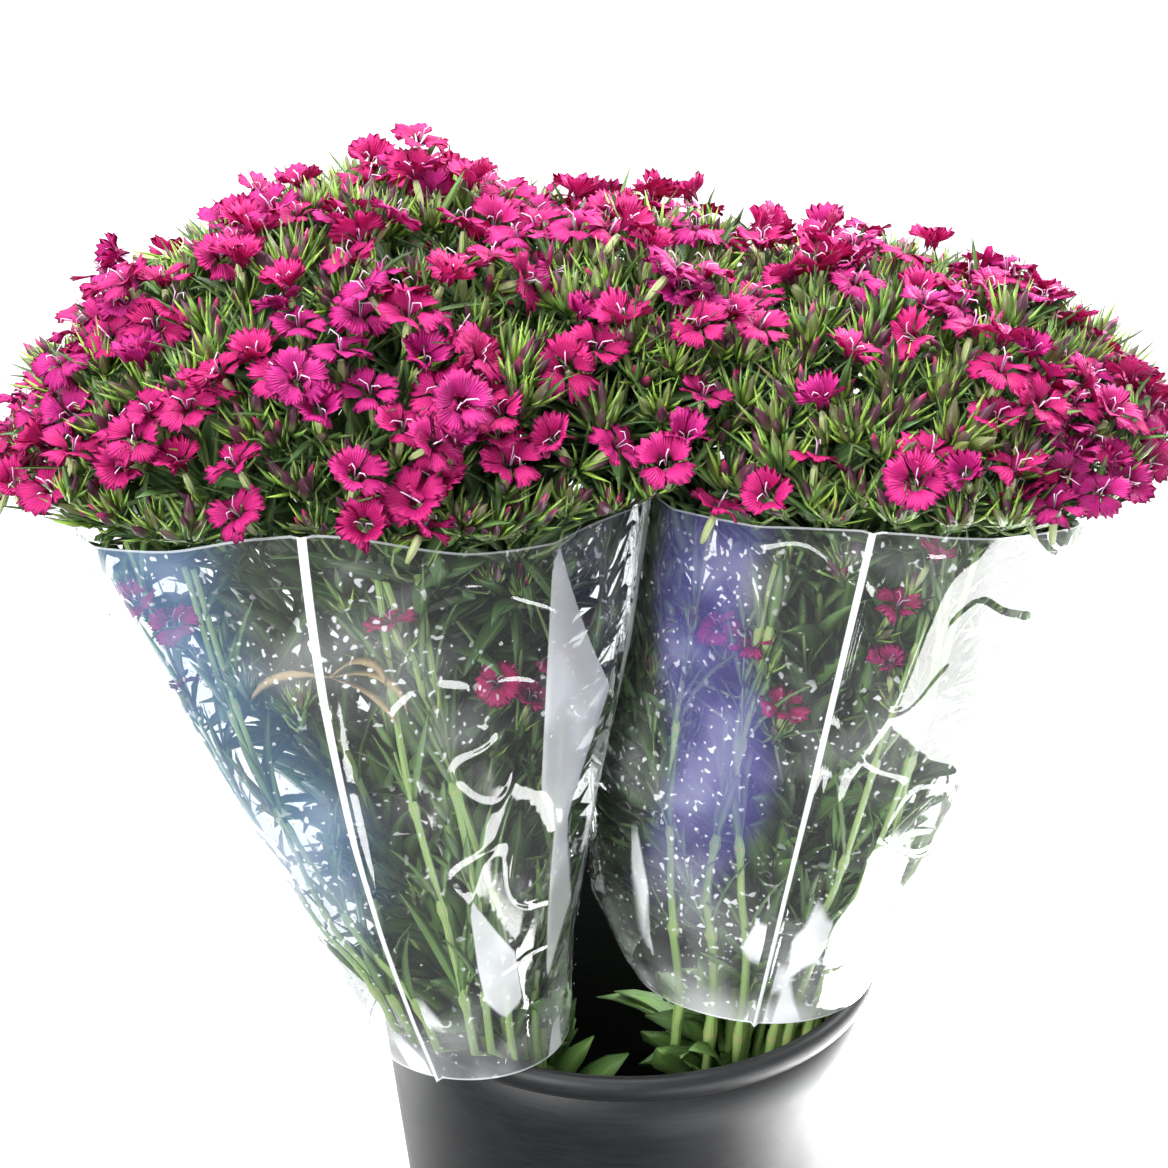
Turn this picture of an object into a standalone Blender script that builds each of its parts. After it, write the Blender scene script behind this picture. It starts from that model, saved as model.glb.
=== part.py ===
"""Two bunches of cut dianthus in clear sleeves, standing in a round flower bucket.

Metres, +Z up. The origin is the centre of the bucket's underside, and the front faces -Y.
Each cut stem is one solid: a leafy stem that forks below its flower heads, each with a crown of
buds and bracts. The open flowers of a head are a solid of their own, joined at their throats.
It sits 0.3 mm above the crown that carries it. Flowers, buds and bracts are spread evenly over
the two domes by a seeded rule, and each belongs to the head that it is nearest to.
"""

import math
import random
from collections import namedtuple

import bmesh
import bpy
import numpy as np
from mathutils import Vector
from mathutils.bvhtree import BVHTree

SEED = 41
TOUCH_GAP = 0.0003
CLEARANCE = 0.0007

# The bucket: a thin moulded wall with a rolled lip, on a flat base.
BUCKET_HEIGHT = 0.300
BUCKET_BASE_RADIUS = 0.113
BUCKET_NECK_RADIUS = 0.1415
RIM_RADIUS = 0.1465
RIM_DROP = 0.014
BUCKET_WALL = 0.0024
FOOT_ROUND = 0.004
BUCKET_SIDES = 48

WATER_LEVEL = 0.080
WATER_SIDES = 28
HOLE_SIDES = 5

# A sleeve: clear film, open at both ends, with a welded crease down its front and back.
FILM = 0.0008
SLEEVE_ARCS = 11
CREASE_STAND = 0.0045
CREASE_HALF_ANGLE = 0.035
CREASE_RISE_WIDTH = 0.42
SLEEVE_LEVELS = (0.0, 0.30, 0.65, 1.0)

# A stem, measured from its cut foot up to the heads.
STEM_SIDES = 4
STEM_FOOT_RADIUS = 0.0028
STEM_TOP_RADIUS = 0.0021
STEM_JOINT_SWELL = 1.5
BRANCH_RADIUS = 0.0019
STEM_JOINTS = (0.24, 0.50, 0.76)
FORK_DROP = 0.080
BUNDLE_RADIUS_FOOT = 0.034
STEM_FOOT_Z = BUCKET_WALL + 0.0016

# A leaf: narrow, keeled and arched, in opposite pairs at the stem's joints.
LEAF_LENGTH = 0.086
LEAF_HALF_WIDTH = 0.0062
LEAF_KEEL = 0.0013
LEAF_PROFILE = ((0.0, 0.42), (0.36, 1.0), (0.72, 0.66))
LEAF_SHRINKS = (1.0, 0.85, 0.7, 0.58)
LEAF_NUDGES = (0.0, 0.35, -0.35, 0.7, -0.7, 1.05, -1.05)

# The flowers: how they are spread over the domes, and the shape of one.
SURFACE_POINTS = 5000
SURFACE_FLOOR = 0.590
FLOWERS = 160
SPREAD_ROUNDS = 30
REGROUP_ROUNDS = 12
FLOWER_RADIUS = 0.0215
FLOWER_SPARE = 0.0004
FLOWER_THROAT = 0.0085
FLOWER_DISH = 0.0020
FLOWER_TILT = 0.16
PETALS = 5
# A petal's outline as (degrees from its middle, share of the flower's radius).
PETAL_OUTLINE = ((-36.0, 0.55), (-25.0, 0.98), (25.0, 0.98))
STALK_RADIUS = 0.0021
STALK_SPREAD = 0.21

# A head: the flowers' joint, on a crown of buds and bracts at the tip of its branch.
HEAD_DEPTH = 0.050
JOINT_RADIUS = 0.0070
JOINT_BOTTOM = 0.0042
CROWN_TOP_RADIUS = 0.0078
CROWN_RADIUS = 0.0118
CROWN_SHOULDER = 0.0055
CROWN_DEPTH = 0.0125
BUD_RADIUS = 0.0040
BUD_TIP_LENGTH = 0.0135
BUD_RISE = (0.003, 0.009)
BUD_SPACING = 0.017
BUD_ROOM = 0.0200
BUD_AZIMUTH_GAP = 0.70
WIDEST_BUD_GAP = math.radians(80.0)
SIDE_BUD_LEANS = (50.0, 62.0, 74.0, 86.0)
SIDE_BUD_LENGTHS = (0.046, 0.036, 0.028)
BRACT_LEANS = (34.0, 44.0, 54.0, 64.0, 74.0)
BRACT_LENGTHS = (0.050, 0.042, 0.034, 0.027, 0.020)
STUB_LENGTH = 0.003
BUD_SHARES = (1.0, 0.85, 0.7, 0.55, 0.4, 0.28, 0.18, 0.1)
GUARD_START = 0.3
LOW_BRACT_LEANS = (92.0, 100.0, 108.0)
LOW_BRACT_LENGTHS = (0.030, 0.024, 0.0185)

Ring = namedtuple("Ring", "radius_share heads start_deg span_deg")
Sleeve = namedtuple("Sleeve", "low low_radii high high_radii crease_deg crease_rise bulge")
Bunch = namedtuple("Bunch", "side foot neck neck_radius dome rings sleeve")
Head = namedtuple("Head", "place facing joint crown")

Dome = namedtuple("Dome", "centre radius low high")

# The outer rings leave out the side where the bunches merge, under a third, lower dome.
BUNCHES = (
    Bunch(
        side="left",
        foot=(-0.050, -0.040),
        neck=(-0.067, -0.074),
        neck_radius=0.030,
        dome=Dome((-0.135, 0.020), 0.190, 0.570, 0.726),
        rings=(
            Ring(0.0, 1, 0.0, 360.0),
            Ring(0.50, 6, 96.0, 360.0),
            Ring(0.90, 9, 35.0, 290.0),
        ),
        sleeve=Sleeve(
            low=(-0.079, -0.088, BUCKET_HEIGHT + TOUCH_GAP),
            low_radii=(0.056, 0.056),
            high=(-0.148, 0.004, 0.572),
            high_radii=(0.147, 0.161),
            crease_deg=-106.0,
            crease_rise=0.020,
            bulge=0.008,
        ),
    ),
    Bunch(
        side="right",
        foot=(0.050, -0.018),
        neck=(0.073, -0.034),
        neck_radius=0.034,
        dome=Dome((0.120, 0.020), 0.162, 0.570, 0.690),
        rings=(
            Ring(0.0, 1, 0.0, 360.0),
            Ring(0.50, 5, -36.0, 360.0),
            Ring(0.90, 7, 234.0, 252.0),
        ),
        sleeve=Sleeve(
            low=(0.079, -0.035, BUCKET_HEIGHT + TOUCH_GAP),
            low_radii=(0.060, 0.060),
            high=(0.130, 0.022, 0.572),
            high_radii=(0.127, 0.137),
            crease_deg=-88.0,
            crease_rise=0.007,
            bulge=0.006,
        ),
    ),
)

SADDLE = Dome((-0.006, 0.014), 0.146, 0.570, 0.711)
DOMES = (BUNCHES[0].dome, BUNCHES[1].dome, SADDLE)

LEAF_GREEN = (0.085, 0.190, 0.062)
PETAL_PINK = (0.560, 0.010, 0.130)
BUCKET_BLACK = (0.012, 0.013, 0.014)
WATER_CLEAR = (0.55, 0.66, 0.64)
FILM_CLEAR = (0.86, 0.93, 0.92)


class Room:
    """What is placed already, so that a new piece keeps clear of every other owner's."""

    def __init__(self):
        self.trees = []
        self.owners = []
        self.middles = []
        self.reaches = []

    def add(self, owner, shape):
        middle, reach = sphere_round(shape[0])
        self.trees.append(BVHTree.FromPolygons(*shape))
        self.owners.append(owner)
        self.middles.append(middle)
        self.reaches.append(reach)

    def free(self, shape, owner=None):
        """True if a shape meets nothing here but its own owner's."""
        if not self.trees:
            return True
        middle, reach = sphere_round(shape[0])
        tree = BVHTree.FromPolygons(*shape)
        apart = np.linalg.norm(np.array(self.middles) - middle, axis=1)
        for k in np.flatnonzero(apart < np.array(self.reaches) + reach):
            if (owner is None or self.owners[k] != owner) and self.trees[k].overlap(tree):
                return False
        return True


Rooms = namedtuple("Rooms", "fixed spikes stems")


def sphere_round(vertices):
    points = np.array([tuple(v) for v in vertices])
    middle = points.mean(axis=0)
    return middle, np.linalg.norm(points - middle, axis=1).max()


def clear_scene():
    for obj in list(bpy.data.objects):
        bpy.data.objects.remove(obj)


def finish(name, colour, roughness, alpha=1.0):
    """A Principled material."""
    made = bpy.data.materials.new(name)
    made.use_nodes = True
    shader = made.node_tree.nodes["Principled BSDF"]
    shader.inputs["Base Color"].default_value = (*colour, 1.0)
    shader.inputs["Roughness"].default_value = roughness
    shader.inputs["Metallic"].default_value = 0.0
    shader.inputs["Alpha"].default_value = alpha
    return made


def mesh_object(name, shape, material=None):
    """An object from (vertices, faces), linked to the scene."""
    vertices, faces = shape
    mesh = bpy.data.meshes.new(name)
    mesh.from_pydata([tuple(v) for v in vertices], [], faces)
    mesh.validate()
    if material is not None:
        mesh.materials.append(material)
    obj = bpy.data.objects.new(name, mesh)
    bpy.context.scene.collection.objects.link(obj)
    return obj


def combine(body, shapes, operation):
    """One Boolean on a body with many closed shapes, applied."""
    helpers = bpy.data.collections.new(body.name + "_repeats")
    bpy.context.scene.collection.children.link(helpers)
    for number, shape in enumerate(shapes):
        piece = mesh_object(f"{body.name}_repeat_{number}", shape)
        bpy.context.scene.collection.objects.unlink(piece)
        helpers.objects.link(piece)
    modifier = body.modifiers.new("combine", "BOOLEAN")
    modifier.operation = operation
    modifier.solver = "MANIFOLD"
    modifier.operand_type = "COLLECTION"
    modifier.collection = helpers
    bpy.context.view_layer.update()
    graph = bpy.context.evaluated_depsgraph_get()
    made = bpy.data.meshes.new_from_object(body.evaluated_get(graph))
    body.modifiers.clear()
    body.data = made
    for piece in list(helpers.objects):
        bpy.data.objects.remove(piece)
    bpy.data.collections.remove(helpers)


def shade_round(obj, angle_deg):
    for polygon in obj.data.polygons:
        polygon.use_smooth = True
    obj.data.set_sharp_from_angle(angle=math.radians(angle_deg))


def lathe(name, profile, sides, material):
    """A closed profile of (radius, height) turned round the Z axis. Radius 0 makes a pole."""
    vertices = []
    rows = []
    for radius, height in profile:
        if radius == 0.0:
            rows.append([len(vertices)] * sides)
            vertices.append((0.0, 0.0, height))
            continue
        rows.append([len(vertices) + k for k in range(sides)])
        for k in range(sides):
            turn = 2.0 * math.pi * k / sides
            vertices.append((radius * math.cos(turn), radius * math.sin(turn), height))
    faces = []
    for row, following in zip(rows, rows[1:]):
        for k in range(sides):
            after = (k + 1) % sides
            corners = [row[k], row[after], following[after], following[k]]
            faces.append(list(dict.fromkeys(corners)))
    return mesh_object(name, (vertices, faces), material)


def frame_along(direction):
    """Two unit vectors square to a direction."""
    along = direction.normalized()
    helper = Vector((0.0, 0.0, 1.0)) if abs(along.z) < 0.9 else Vector((1.0, 0.0, 0.0))
    across = along.cross(helper).normalized()
    return across, along.cross(across).normalized()


def around(across, beside, turn):
    return across * math.cos(turn) + beside * math.sin(turn)


def tilted(axis, lean, turn):
    """An axis leaned over by an angle, towards a turn round it."""
    return (axis * math.cos(lean) + around(*frame_along(axis), turn) * math.sin(lean)).normalized()


def tube(points, radii, sides):
    """A closed tube through points, with flat ends."""
    vertices = []
    across = None
    for place, point in enumerate(points):
        ahead = points[min(place + 1, len(points) - 1)] - points[max(place - 1, 0)]
        along = ahead.normalized()
        across = frame_along(along)[0] if across is None else across
        across = (across - along * across.dot(along)).normalized()
        beside = along.cross(across)
        for k in range(sides):
            vertices.append(point + around(across, beside, 2.0 * math.pi * k / sides) * radii[place])
    faces = [list(range(sides))[::-1]]
    for row in range(len(points) - 1):
        first = row * sides
        for k in range(sides):
            after = (k + 1) % sides
            faces.append([first + k, first + after, first + sides + after, first + sides + k])
    last = (len(points) - 1) * sides
    faces.append(list(range(last, last + sides)))
    return vertices, faces


def dome_surface(dome, share, azimuth):
    """A point of a dome, and the way that it faces there."""
    height = dome.high - dome.low
    up = math.sqrt(max(0.0, 1.0 - share * share))
    offset = Vector((math.cos(azimuth), math.sin(azimuth), 0.0))
    point = Vector((*dome.centre, dome.low + height * up)) + offset * dome.radius * share
    normal = offset * (share / dome.radius) + Vector((0.0, 0.0, up / height))
    return point, normal.normalized()


def within_dome(dome, point):
    aside = math.hypot(point.x - dome.centre[0], point.y - dome.centre[1]) / dome.radius
    above = (point.z - dome.low) / (dome.high - dome.low)
    return aside * aside + above * above < 1.0


def canopy_points():
    """Points spread evenly over the domes where none lies inside another, with normals."""
    points = []
    normals = []
    for dome in DOMES:
        others = [other for other in DOMES if other is not dome]
        count = round(SURFACE_POINTS * (dome.radius / BUNCHES[0].dome.radius) ** 2)
        for k in range(count):
            up = 1.0 - (k + 0.5) / count
            azimuth = k * math.pi * (3.0 - math.sqrt(5.0))
            point, normal = dome_surface(dome, math.sqrt(1.0 - up * up), azimuth)
            if point.z < SURFACE_FLOOR or any(within_dome(other, point) for other in others):
                continue
            points.append(point)
            normals.append(normal)
    return np.array(points), np.array(normals)


def nearest(points, places):
    """For each point, which place is nearest to it."""
    apart = np.linalg.norm(points[:, None, :] - places[None, :, :], axis=2)
    return apart.argmin(axis=1), apart.min(axis=1)


def spread_evenly(points, count, draw):
    """The numbers of points that lie evenly apart: each moves to the middle of its patch."""
    places = points[draw.sample(range(len(points)), count)]
    for _ in range(SPREAD_ROUNDS):
        patch, _ = nearest(points, places)
        places = np.array([points[patch == k].mean(axis=0) for k in range(count)])
    chosen, _ = nearest(places, points)
    return np.unique(chosen)


def bud_places(points, flowers):
    """The numbers of points in the gaps between flowers, roomiest first."""
    _, room = nearest(points, flowers)
    places = []
    for k in np.argsort(-room):
        if room[k] < BUD_ROOM:
            break
        apart = [np.linalg.norm(points[k] - points[other]) for other in places]
        if not apart or min(apart) > BUD_SPACING:
            places.append(k)
    return places


def head_at(place, facing):
    joint = place - facing * HEAD_DEPTH
    return Head(place, facing, joint, joint - facing * (JOINT_BOTTOM + TOUCH_GAP))


def head_places(bunch):
    """Where the heads of a bunch start from, ring by ring from the middle out."""
    places = []
    for ring in bunch.rings:
        for k in range(ring.heads):
            azimuth = math.radians(ring.start_deg + ring.span_deg * (k + 0.5) / ring.heads)
            places.append(tuple(dome_surface(bunch.dome, ring.radius_share, azimuth)[0]))
    return places


def regroup(places, points, normals, flowers):
    """Moves each head to the middle of the flowers that are nearest to it."""
    for _ in range(REGROUP_ROUNDS):
        owner, _ = nearest(flowers, places)
        places = np.array([flowers[owner == k].mean(axis=0) for k in range(len(places))])
    on_surface, _ = nearest(places, points)
    return [head_at(Vector(points[k]), Vector(normals[k])) for k in on_surface]


def flower_parts(base, throat, centre, axis, radius, vertices, faces):
    """Raises a flower from three base corners: its stalk, its funnel and its toothed petals."""
    along = (throat - sum((vertices[k] for k in base), Vector()) / 3.0).normalized()
    spoke = vertices[base[0]] - throat
    across = (spoke - along * spoke.dot(along)).normalized()
    beside = along.cross(across)
    ring = []
    for corner in range(3):
        ring.append(len(vertices))
        vertices.append(throat + around(across, beside, 2.0 * math.pi * corner / 3.0) * STALK_RADIUS)
    for corner in range(3):
        after = (corner + 1) % 3
        faces.append([base[corner], base[after], ring[after], ring[corner]])
    flat = (across - axis * across.dot(axis)).normalized()
    flat_beside = axis.cross(flat)
    outline = []
    for petal in range(PETALS):
        for degrees, share in PETAL_OUTLINE:
            turn = math.radians(36.0 + 72.0 * petal + degrees)
            outline.append(len(vertices))
            vertices.append(centre + around(flat, flat_beside, turn) * radius * share)
    middle = len(vertices)
    vertices.append(centre - axis * FLOWER_DISH)
    count = len(outline)
    for k in range(count):
        after = (k + 1) % count
        corner = round(3.0 * (k + 0.5) / count) % 3
        next_corner = round(3.0 * (k + 1.5) / count) % 3
        faces.append([ring[corner], outline[after], outline[k]])
        faces.append([middle, outline[k], outline[after]])
        if next_corner != corner:
            faces.append([ring[corner], ring[next_corner], outline[after]])


def flower_joint(head, throats):
    """The small body that a head's flowers share: three corners below each, and a flat bottom."""
    vertices = []
    for throat in throats:
        direction = (throat - head.joint).normalized()
        across, beside = frame_along(direction)
        for corner in range(3):
            offset = around(across, beside, 2.0 * math.pi * corner / 3.0)
            corner_way = (direction + offset * STALK_SPREAD).normalized()
            vertices.append(head.joint + corner_way * JOINT_RADIUS)
    across, beside = frame_along(head.facing)
    for k in range(4):
        offset = around(across, beside, math.pi * (k + 0.5) / 2.0)
        vertices.append(head.joint + offset * JOINT_RADIUS * 0.8 - head.facing * JOINT_BOTTOM)
    return vertices, hull_faces(vertices)


def hull_faces(vertices):
    """The triangles of the convex hull of some points, facing out."""
    work = bmesh.new()
    corners = [work.verts.new(v) for v in vertices]
    numbers = {corner: k for k, corner in enumerate(corners)}
    bmesh.ops.convex_hull(work, input=corners, use_existing_faces=False)
    bmesh.ops.triangulate(work, faces=list(work.faces))
    bmesh.ops.recalc_face_normals(work, faces=list(work.faces))
    faces = [[numbers[v] for v in face.verts] for face in work.faces]
    work.free()
    return faces


def bloom_shape(head, flowers):
    """The open flowers of a head, as one closed body."""
    throats = [centre - axis * FLOWER_THROAT for centre, axis, _ in flowers]
    vertices, faces = flower_joint(head, throats)
    for number, (centre, axis, radius) in enumerate(flowers):
        corners = {3 * number, 3 * number + 1, 3 * number + 2}
        base = next((face for face in faces if set(face) == corners), None)
        if base is None:
            continue
        faces.remove(base)
        flower_parts(base, throats[number], centre, axis, radius, vertices, faces)
    return vertices, faces


def bud_shape(corners, tip, root, vertices, faces, radius=BUD_RADIUS):
    """Raises a bud from three corners: its sides widen to a ring, and close at the tip."""
    axis = (tip - root).normalized()
    thick = tip - axis * min(BUD_TIP_LENGTH, (tip - root).length * 0.5)
    spoke = vertices[corners[0]] - thick
    across = (spoke - axis * spoke.dot(axis)).normalized()
    beside = axis.cross(across)
    ring = []
    for corner in range(3):
        ring.append(len(vertices))
        vertices.append(thick + around(across, beside, 2.0 * math.pi * corner / 3.0) * radius)
    for corner in range(3):
        after = (corner + 1) % 3
        faces.append([corners[corner], corners[after], ring[after], ring[corner]])
    bract_shape(ring, tip, vertices, faces)


def bract_shape(corners, tip, vertices, faces):
    """Raises a spike from a ring of corners."""
    vertices.append(tip)
    for number, corner in enumerate(corners):
        faces.append([corner, corners[(number + 1) % len(corners)], len(vertices) - 1])


def turned(head, lean, azimuth):
    """A direction from a head's crown, by its lean from the way that the head faces."""
    across, beside = frame_along(head.facing)
    return head.facing * math.cos(lean) + around(across, beside, azimuth) * math.sin(lean)


def spike_root(head, azimuth):
    across, beside = frame_along(head.facing)
    aside = around(across, beside, azimuth) * (CROWN_RADIUS - 0.0015)
    return head.crown + aside - head.facing * CROWN_SHOULDER * 0.6


def spike_guard(head, azimuth, tip, radius, length, first):
    """The outside of a spike with some room round it, from a share of its length to its tip."""
    root = spike_root(head, azimuth)
    axis = (tip - root).normalized()
    thick = tip - axis * length
    points = [root.lerp(thick, first), thick, tip + axis * CLEARANCE]
    return tube(points, [radius * 0.8 + CLEARANCE, radius + CLEARANCE, CLEARANCE], 5)


def pyramid(corners, tip):
    """A spike that stands on three corners, drawn a little too wide."""
    middle = sum(corners, Vector()) / 3.0
    wide = [corner + (corner - middle).normalized() * CLEARANCE for corner in corners]
    vertices = [*wide, tip + (tip - middle).normalized() * CLEARANCE]
    return vertices, [[0, 2, 1], [0, 1, 3], [1, 2, 3], [2, 0, 3]]


def take_spike(upper, whole, stem, rooms):
    """Takes a spike's place if it keeps clear of the blooms, other spikes and other stems."""
    if not rooms.spikes.free(upper) or not rooms.fixed.free(whole):
        return False
    if not rooms.stems.free(upper, stem):
        return False
    rooms.spikes.add(stem, upper)
    return True


def turn_between(first, second):
    return abs(math.remainder(first - second, 2.0 * math.pi))


def bud_guards(head, azimuth, tip, length):
    upper = spike_guard(head, azimuth, tip, BUD_RADIUS, length, GUARD_START)
    return upper, spike_guard(head, azimuth, tip, BUD_RADIUS, length, 0.0)


def gap_buds(head, tips, stem, rooms, draw):
    """Buds that stand up through the gaps between a head's flowers, as (azimuth, tip)."""
    across, beside = frame_along(head.facing)
    buds = []
    for point, normal in tips:
        tip = point + normal * draw.uniform(*BUD_RISE)
        aside = tip - head.crown
        azimuth = math.atan2(aside.dot(beside), aside.dot(across)) % (2.0 * math.pi)
        if any(turn_between(azimuth, bud[0]) < BUD_AZIMUTH_GAP for bud in buds):
            continue
        if take_spike(*bud_guards(head, azimuth, tip, BUD_TIP_LENGTH), stem, rooms):
            buds.append((azimuth, tip))
    return buds


def side_buds(head, buds, stem, rooms):
    """Fills the wide gaps round a crown with buds that lean out, under the flowers."""
    while True:
        turns = sorted(bud[0] for bud in buds) or [0.0]
        gaps = [((turns[(k + 1) % len(turns)] - turn - 1e-9) % (2.0 * math.pi), turn)
                for k, turn in enumerate(turns)]
        widest, turn = max(gaps)
        if widest < WIDEST_BUD_GAP:
            return sorted(buds)
        azimuth = (turn + widest / 2.0) % (2.0 * math.pi)
        tip = free_tip(head, azimuth, SIDE_BUD_LEANS, SIDE_BUD_LENGTHS, None, stem, rooms)
        buds.append((azimuth, tip))


def free_tip(head, azimuth, leans, lengths, corners, stem, rooms):
    """The longest spike at an azimuth, and then the most upright, that keeps clear."""
    for length in lengths:
        for lean in leans:
            tip = head.crown + turned(head, math.radians(lean), azimuth) * length
            if corners is None:
                guards = bud_guards(head, azimuth, tip, length * 0.4)
            else:
                guards = bract_guards(corners, tip)
            if take_spike(*guards, stem, rooms):
                return tip
    root = spike_root(head, azimuth) if corners is None else sum(corners, Vector()) / 3.0
    return root + turned(head, math.radians(leans[-1]), azimuth) * STUB_LENGTH


def shortened_tip(base, root, tip, rooms):
    """The end of a bud, drawn back along it until all of the bud clears the flowers."""
    for share in BUD_SHARES:
        end = root.lerp(tip, share)
        vertices = [corner + (corner - root).normalized() * CLEARANCE for corner in base]
        faces = [[0, 2, 1]]
        bud_shape([0, 1, 2], end, root, vertices, faces, BUD_RADIUS + CLEARANCE)
        if rooms.fixed.free((vertices, faces)):
            return end
    return end


def bract_guards(corners, tip):
    upper = pyramid([corner.lerp(tip, GUARD_START) for corner in corners], tip)
    return upper, pyramid(corners, tip)


def crown_shape(head, buds, stem, rooms):
    """The green crown of a head: a small faceted core that its buds and bracts stand out of."""
    across, beside = frame_along(head.facing)
    count = len(buds)
    turns = [bud[0] for bud in buds]
    halves = [turn + ((turns[(k + 1) % count] - turn) % (2.0 * math.pi)) / 2.0
              for k, turn in enumerate(turns)]
    vertices = [head.crown + around(across, beside, turn) * CROWN_TOP_RADIUS for turn in halves]
    shoulder = head.crown - head.facing * CROWN_SHOULDER
    vertices += [shoulder + around(across, beside, turn) * CROWN_RADIUS for turn in turns]
    vertices.append(head.crown - head.facing * CROWN_DEPTH)
    bottom = 2 * count
    faces = [list(range(count))]
    for k in range(count):
        before = (k - 1) % count
        after = (k + 1) % count
        corners = [before, count + k, k]
        root = spike_root(head, turns[k])
        tip = shortened_tip([vertices[corner] for corner in corners], root, buds[k][1], rooms)
        bud_shape(corners, tip, root, vertices, faces)
        for corners, leans, lengths in (
            ([k, count + k, count + after], BRACT_LEANS, BRACT_LENGTHS),
            ([count + k, bottom, count + after], LOW_BRACT_LEANS, LOW_BRACT_LENGTHS),
        ):
            base = [vertices[corner] for corner in corners]
            tip = free_tip(head, halves[k], leans, lengths, base, stem, rooms)
            bract_shape(corners, tip, vertices, faces)
    return vertices, faces


def wall_radius(height):
    """The bucket's inner radius at a height."""
    low = FOOT_ROUND + 0.002
    share = min(max((height - low) / (BUCKET_HEIGHT - RIM_DROP - low), 0.0), 1.0)
    return BUCKET_BASE_RADIUS + (BUCKET_NECK_RADIUS - BUCKET_BASE_RADIUS) * share - BUCKET_WALL


def sleeve_section(sleeve, share):
    """A sleeve's centre and its two radii at a share of its height."""
    swell = 4.0 * share * (1.0 - share) * sleeve.bulge
    radii = [low + (high - low) * share + swell
             for low, high in zip(sleeve.low_radii, sleeve.high_radii)]
    return Vector(sleeve.low).lerp(Vector(sleeve.high), share), radii


def inside_sleeve(sleeve, balls):
    """True if every ball that is level with the sleeve lies inside its film."""
    low, high = sleeve.low[2], sleeve.high[2] + sleeve.crease_rise
    for centre, radius in balls:
        if not low - 0.01 <= centre.z <= high + 0.01:
            continue
        share = (centre.z - low) / (sleeve.high[2] - low)
        middle, radii = sleeve_section(sleeve, min(max(share, 0.0), 1.0))
        margin = radius + 0.003
        aside = math.hypot(
            (centre.x - middle.x) / (radii[0] - margin), (centre.y - middle.y) / (radii[1] - margin)
        )
        if aside > 1.0:
            return False
    return True


def inside_bucket(balls):
    """True if every ball below the rim lies inside the bucket and over the water."""
    for centre, radius in balls:
        if centre.z - radius > BUCKET_HEIGHT + 0.004:
            continue
        if centre.z - radius < WATER_LEVEL + 0.002:
            return False
        if math.hypot(centre.x, centre.y) + radius > wall_radius(centre.z) - 0.003:
            return False
    return True


def stem_route(bunch, heads):
    """Points of one stem: its foot, the water's surface, the bucket's mouth and its fork."""
    middle = sum((head.crown for head in heads), Vector()) / len(heads)
    centre = bunch.dome.centre
    pattern = Vector((middle.x - centre[0], middle.y - centre[1], 0.0)) / (bunch.dome.radius - HEAD_DEPTH)
    foot = Vector((*bunch.foot, STEM_FOOT_Z)) + pattern * BUNDLE_RADIUS_FOOT
    neck = Vector((*bunch.neck, BUCKET_HEIGHT)) + pattern * bunch.neck_radius
    lean = (middle - neck).normalized()
    fork = middle - (lean + Vector((0.0, 0.0, 0.6))).normalized() * FORK_DROP
    return foot, neck, fork


def stem_shape(foot, neck, fork):
    """The main stem, swollen at its joints. Returns the shape and its joints."""
    points = [foot, foot.lerp(neck, 0.5), neck]
    swells = [1.0, 1.0, 1.0]
    joints = []
    for share in STEM_JOINTS:
        joint = neck.lerp(fork, share)
        along = (fork - neck).normalized()
        points += [joint, joint + along * 0.006]
        swells += [STEM_JOINT_SWELL, 1.0]
        joints.append((joint, along))
    points.append(fork)
    swells.append(1.15)
    radii = []
    for point, swell in zip(points, swells):
        share = (point.z - foot.z) / (fork.z - foot.z)
        radii.append((STEM_FOOT_RADIUS + (STEM_TOP_RADIUS - STEM_FOOT_RADIUS) * share) * swell)
    return tube(points, radii, STEM_SIDES), joints


def branch_points(neck, fork, head):
    """A branch from the fork up into a crown, which it meets square on."""
    start = fork - (fork - neck).normalized() * 0.004
    end = head.crown - head.facing * (CROWN_DEPTH - 0.005)
    straight = fork.lerp(end, 0.6) - head.facing * 0.012
    return [start, straight, end]


def leaf_point(root, along, outward, length, share):
    """A point on a leaf's midrib: it climbs first and then arches over."""
    climb = length * (0.90 * share - 0.38 * share * share)
    reach = length * (0.30 * share + 0.44 * share * share)
    return root + along * climb + outward * reach


def leaf_shape(root, along, outward, length, half_width):
    """A keeled leaf, three-sided across. Returns its shape and balls."""
    sideways = along.cross(outward).normalized()
    vertices = []
    for share, width in LEAF_PROFILE:
        centre = leaf_point(root, along, outward, length, share)
        lift = leaf_point(root, along, outward, length, share + 0.05) - centre
        upper = sideways.cross(lift).normalized()
        half = half_width * width
        vertices.append(centre - sideways * half + upper * half * 0.3)
        vertices.append(centre - upper * LEAF_KEEL)
        vertices.append(centre + sideways * half + upper * half * 0.3)
    vertices.append(leaf_point(root, along, outward, length, 1.0))
    faces = [[0, 1, 2]]
    for row in range(len(LEAF_PROFILE) - 1):
        first = row * 3
        for k in range(3):
            after = (k + 1) % 3
            faces.append([first + k, first + 3 + k, first + 3 + after, first + after])
    last = (len(LEAF_PROFILE) - 1) * 3
    for k in range(3):
        faces.append([last + k, len(vertices) - 1, last + (k + 1) % 3])
    balls = []
    for step in range(3, 11):
        share = step / 10.0
        middle = leaf_point(root, along, outward, length, share)
        balls.append((middle, half_width * (1.2 - 0.75 * share)))
    return (vertices, faces), balls


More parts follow.
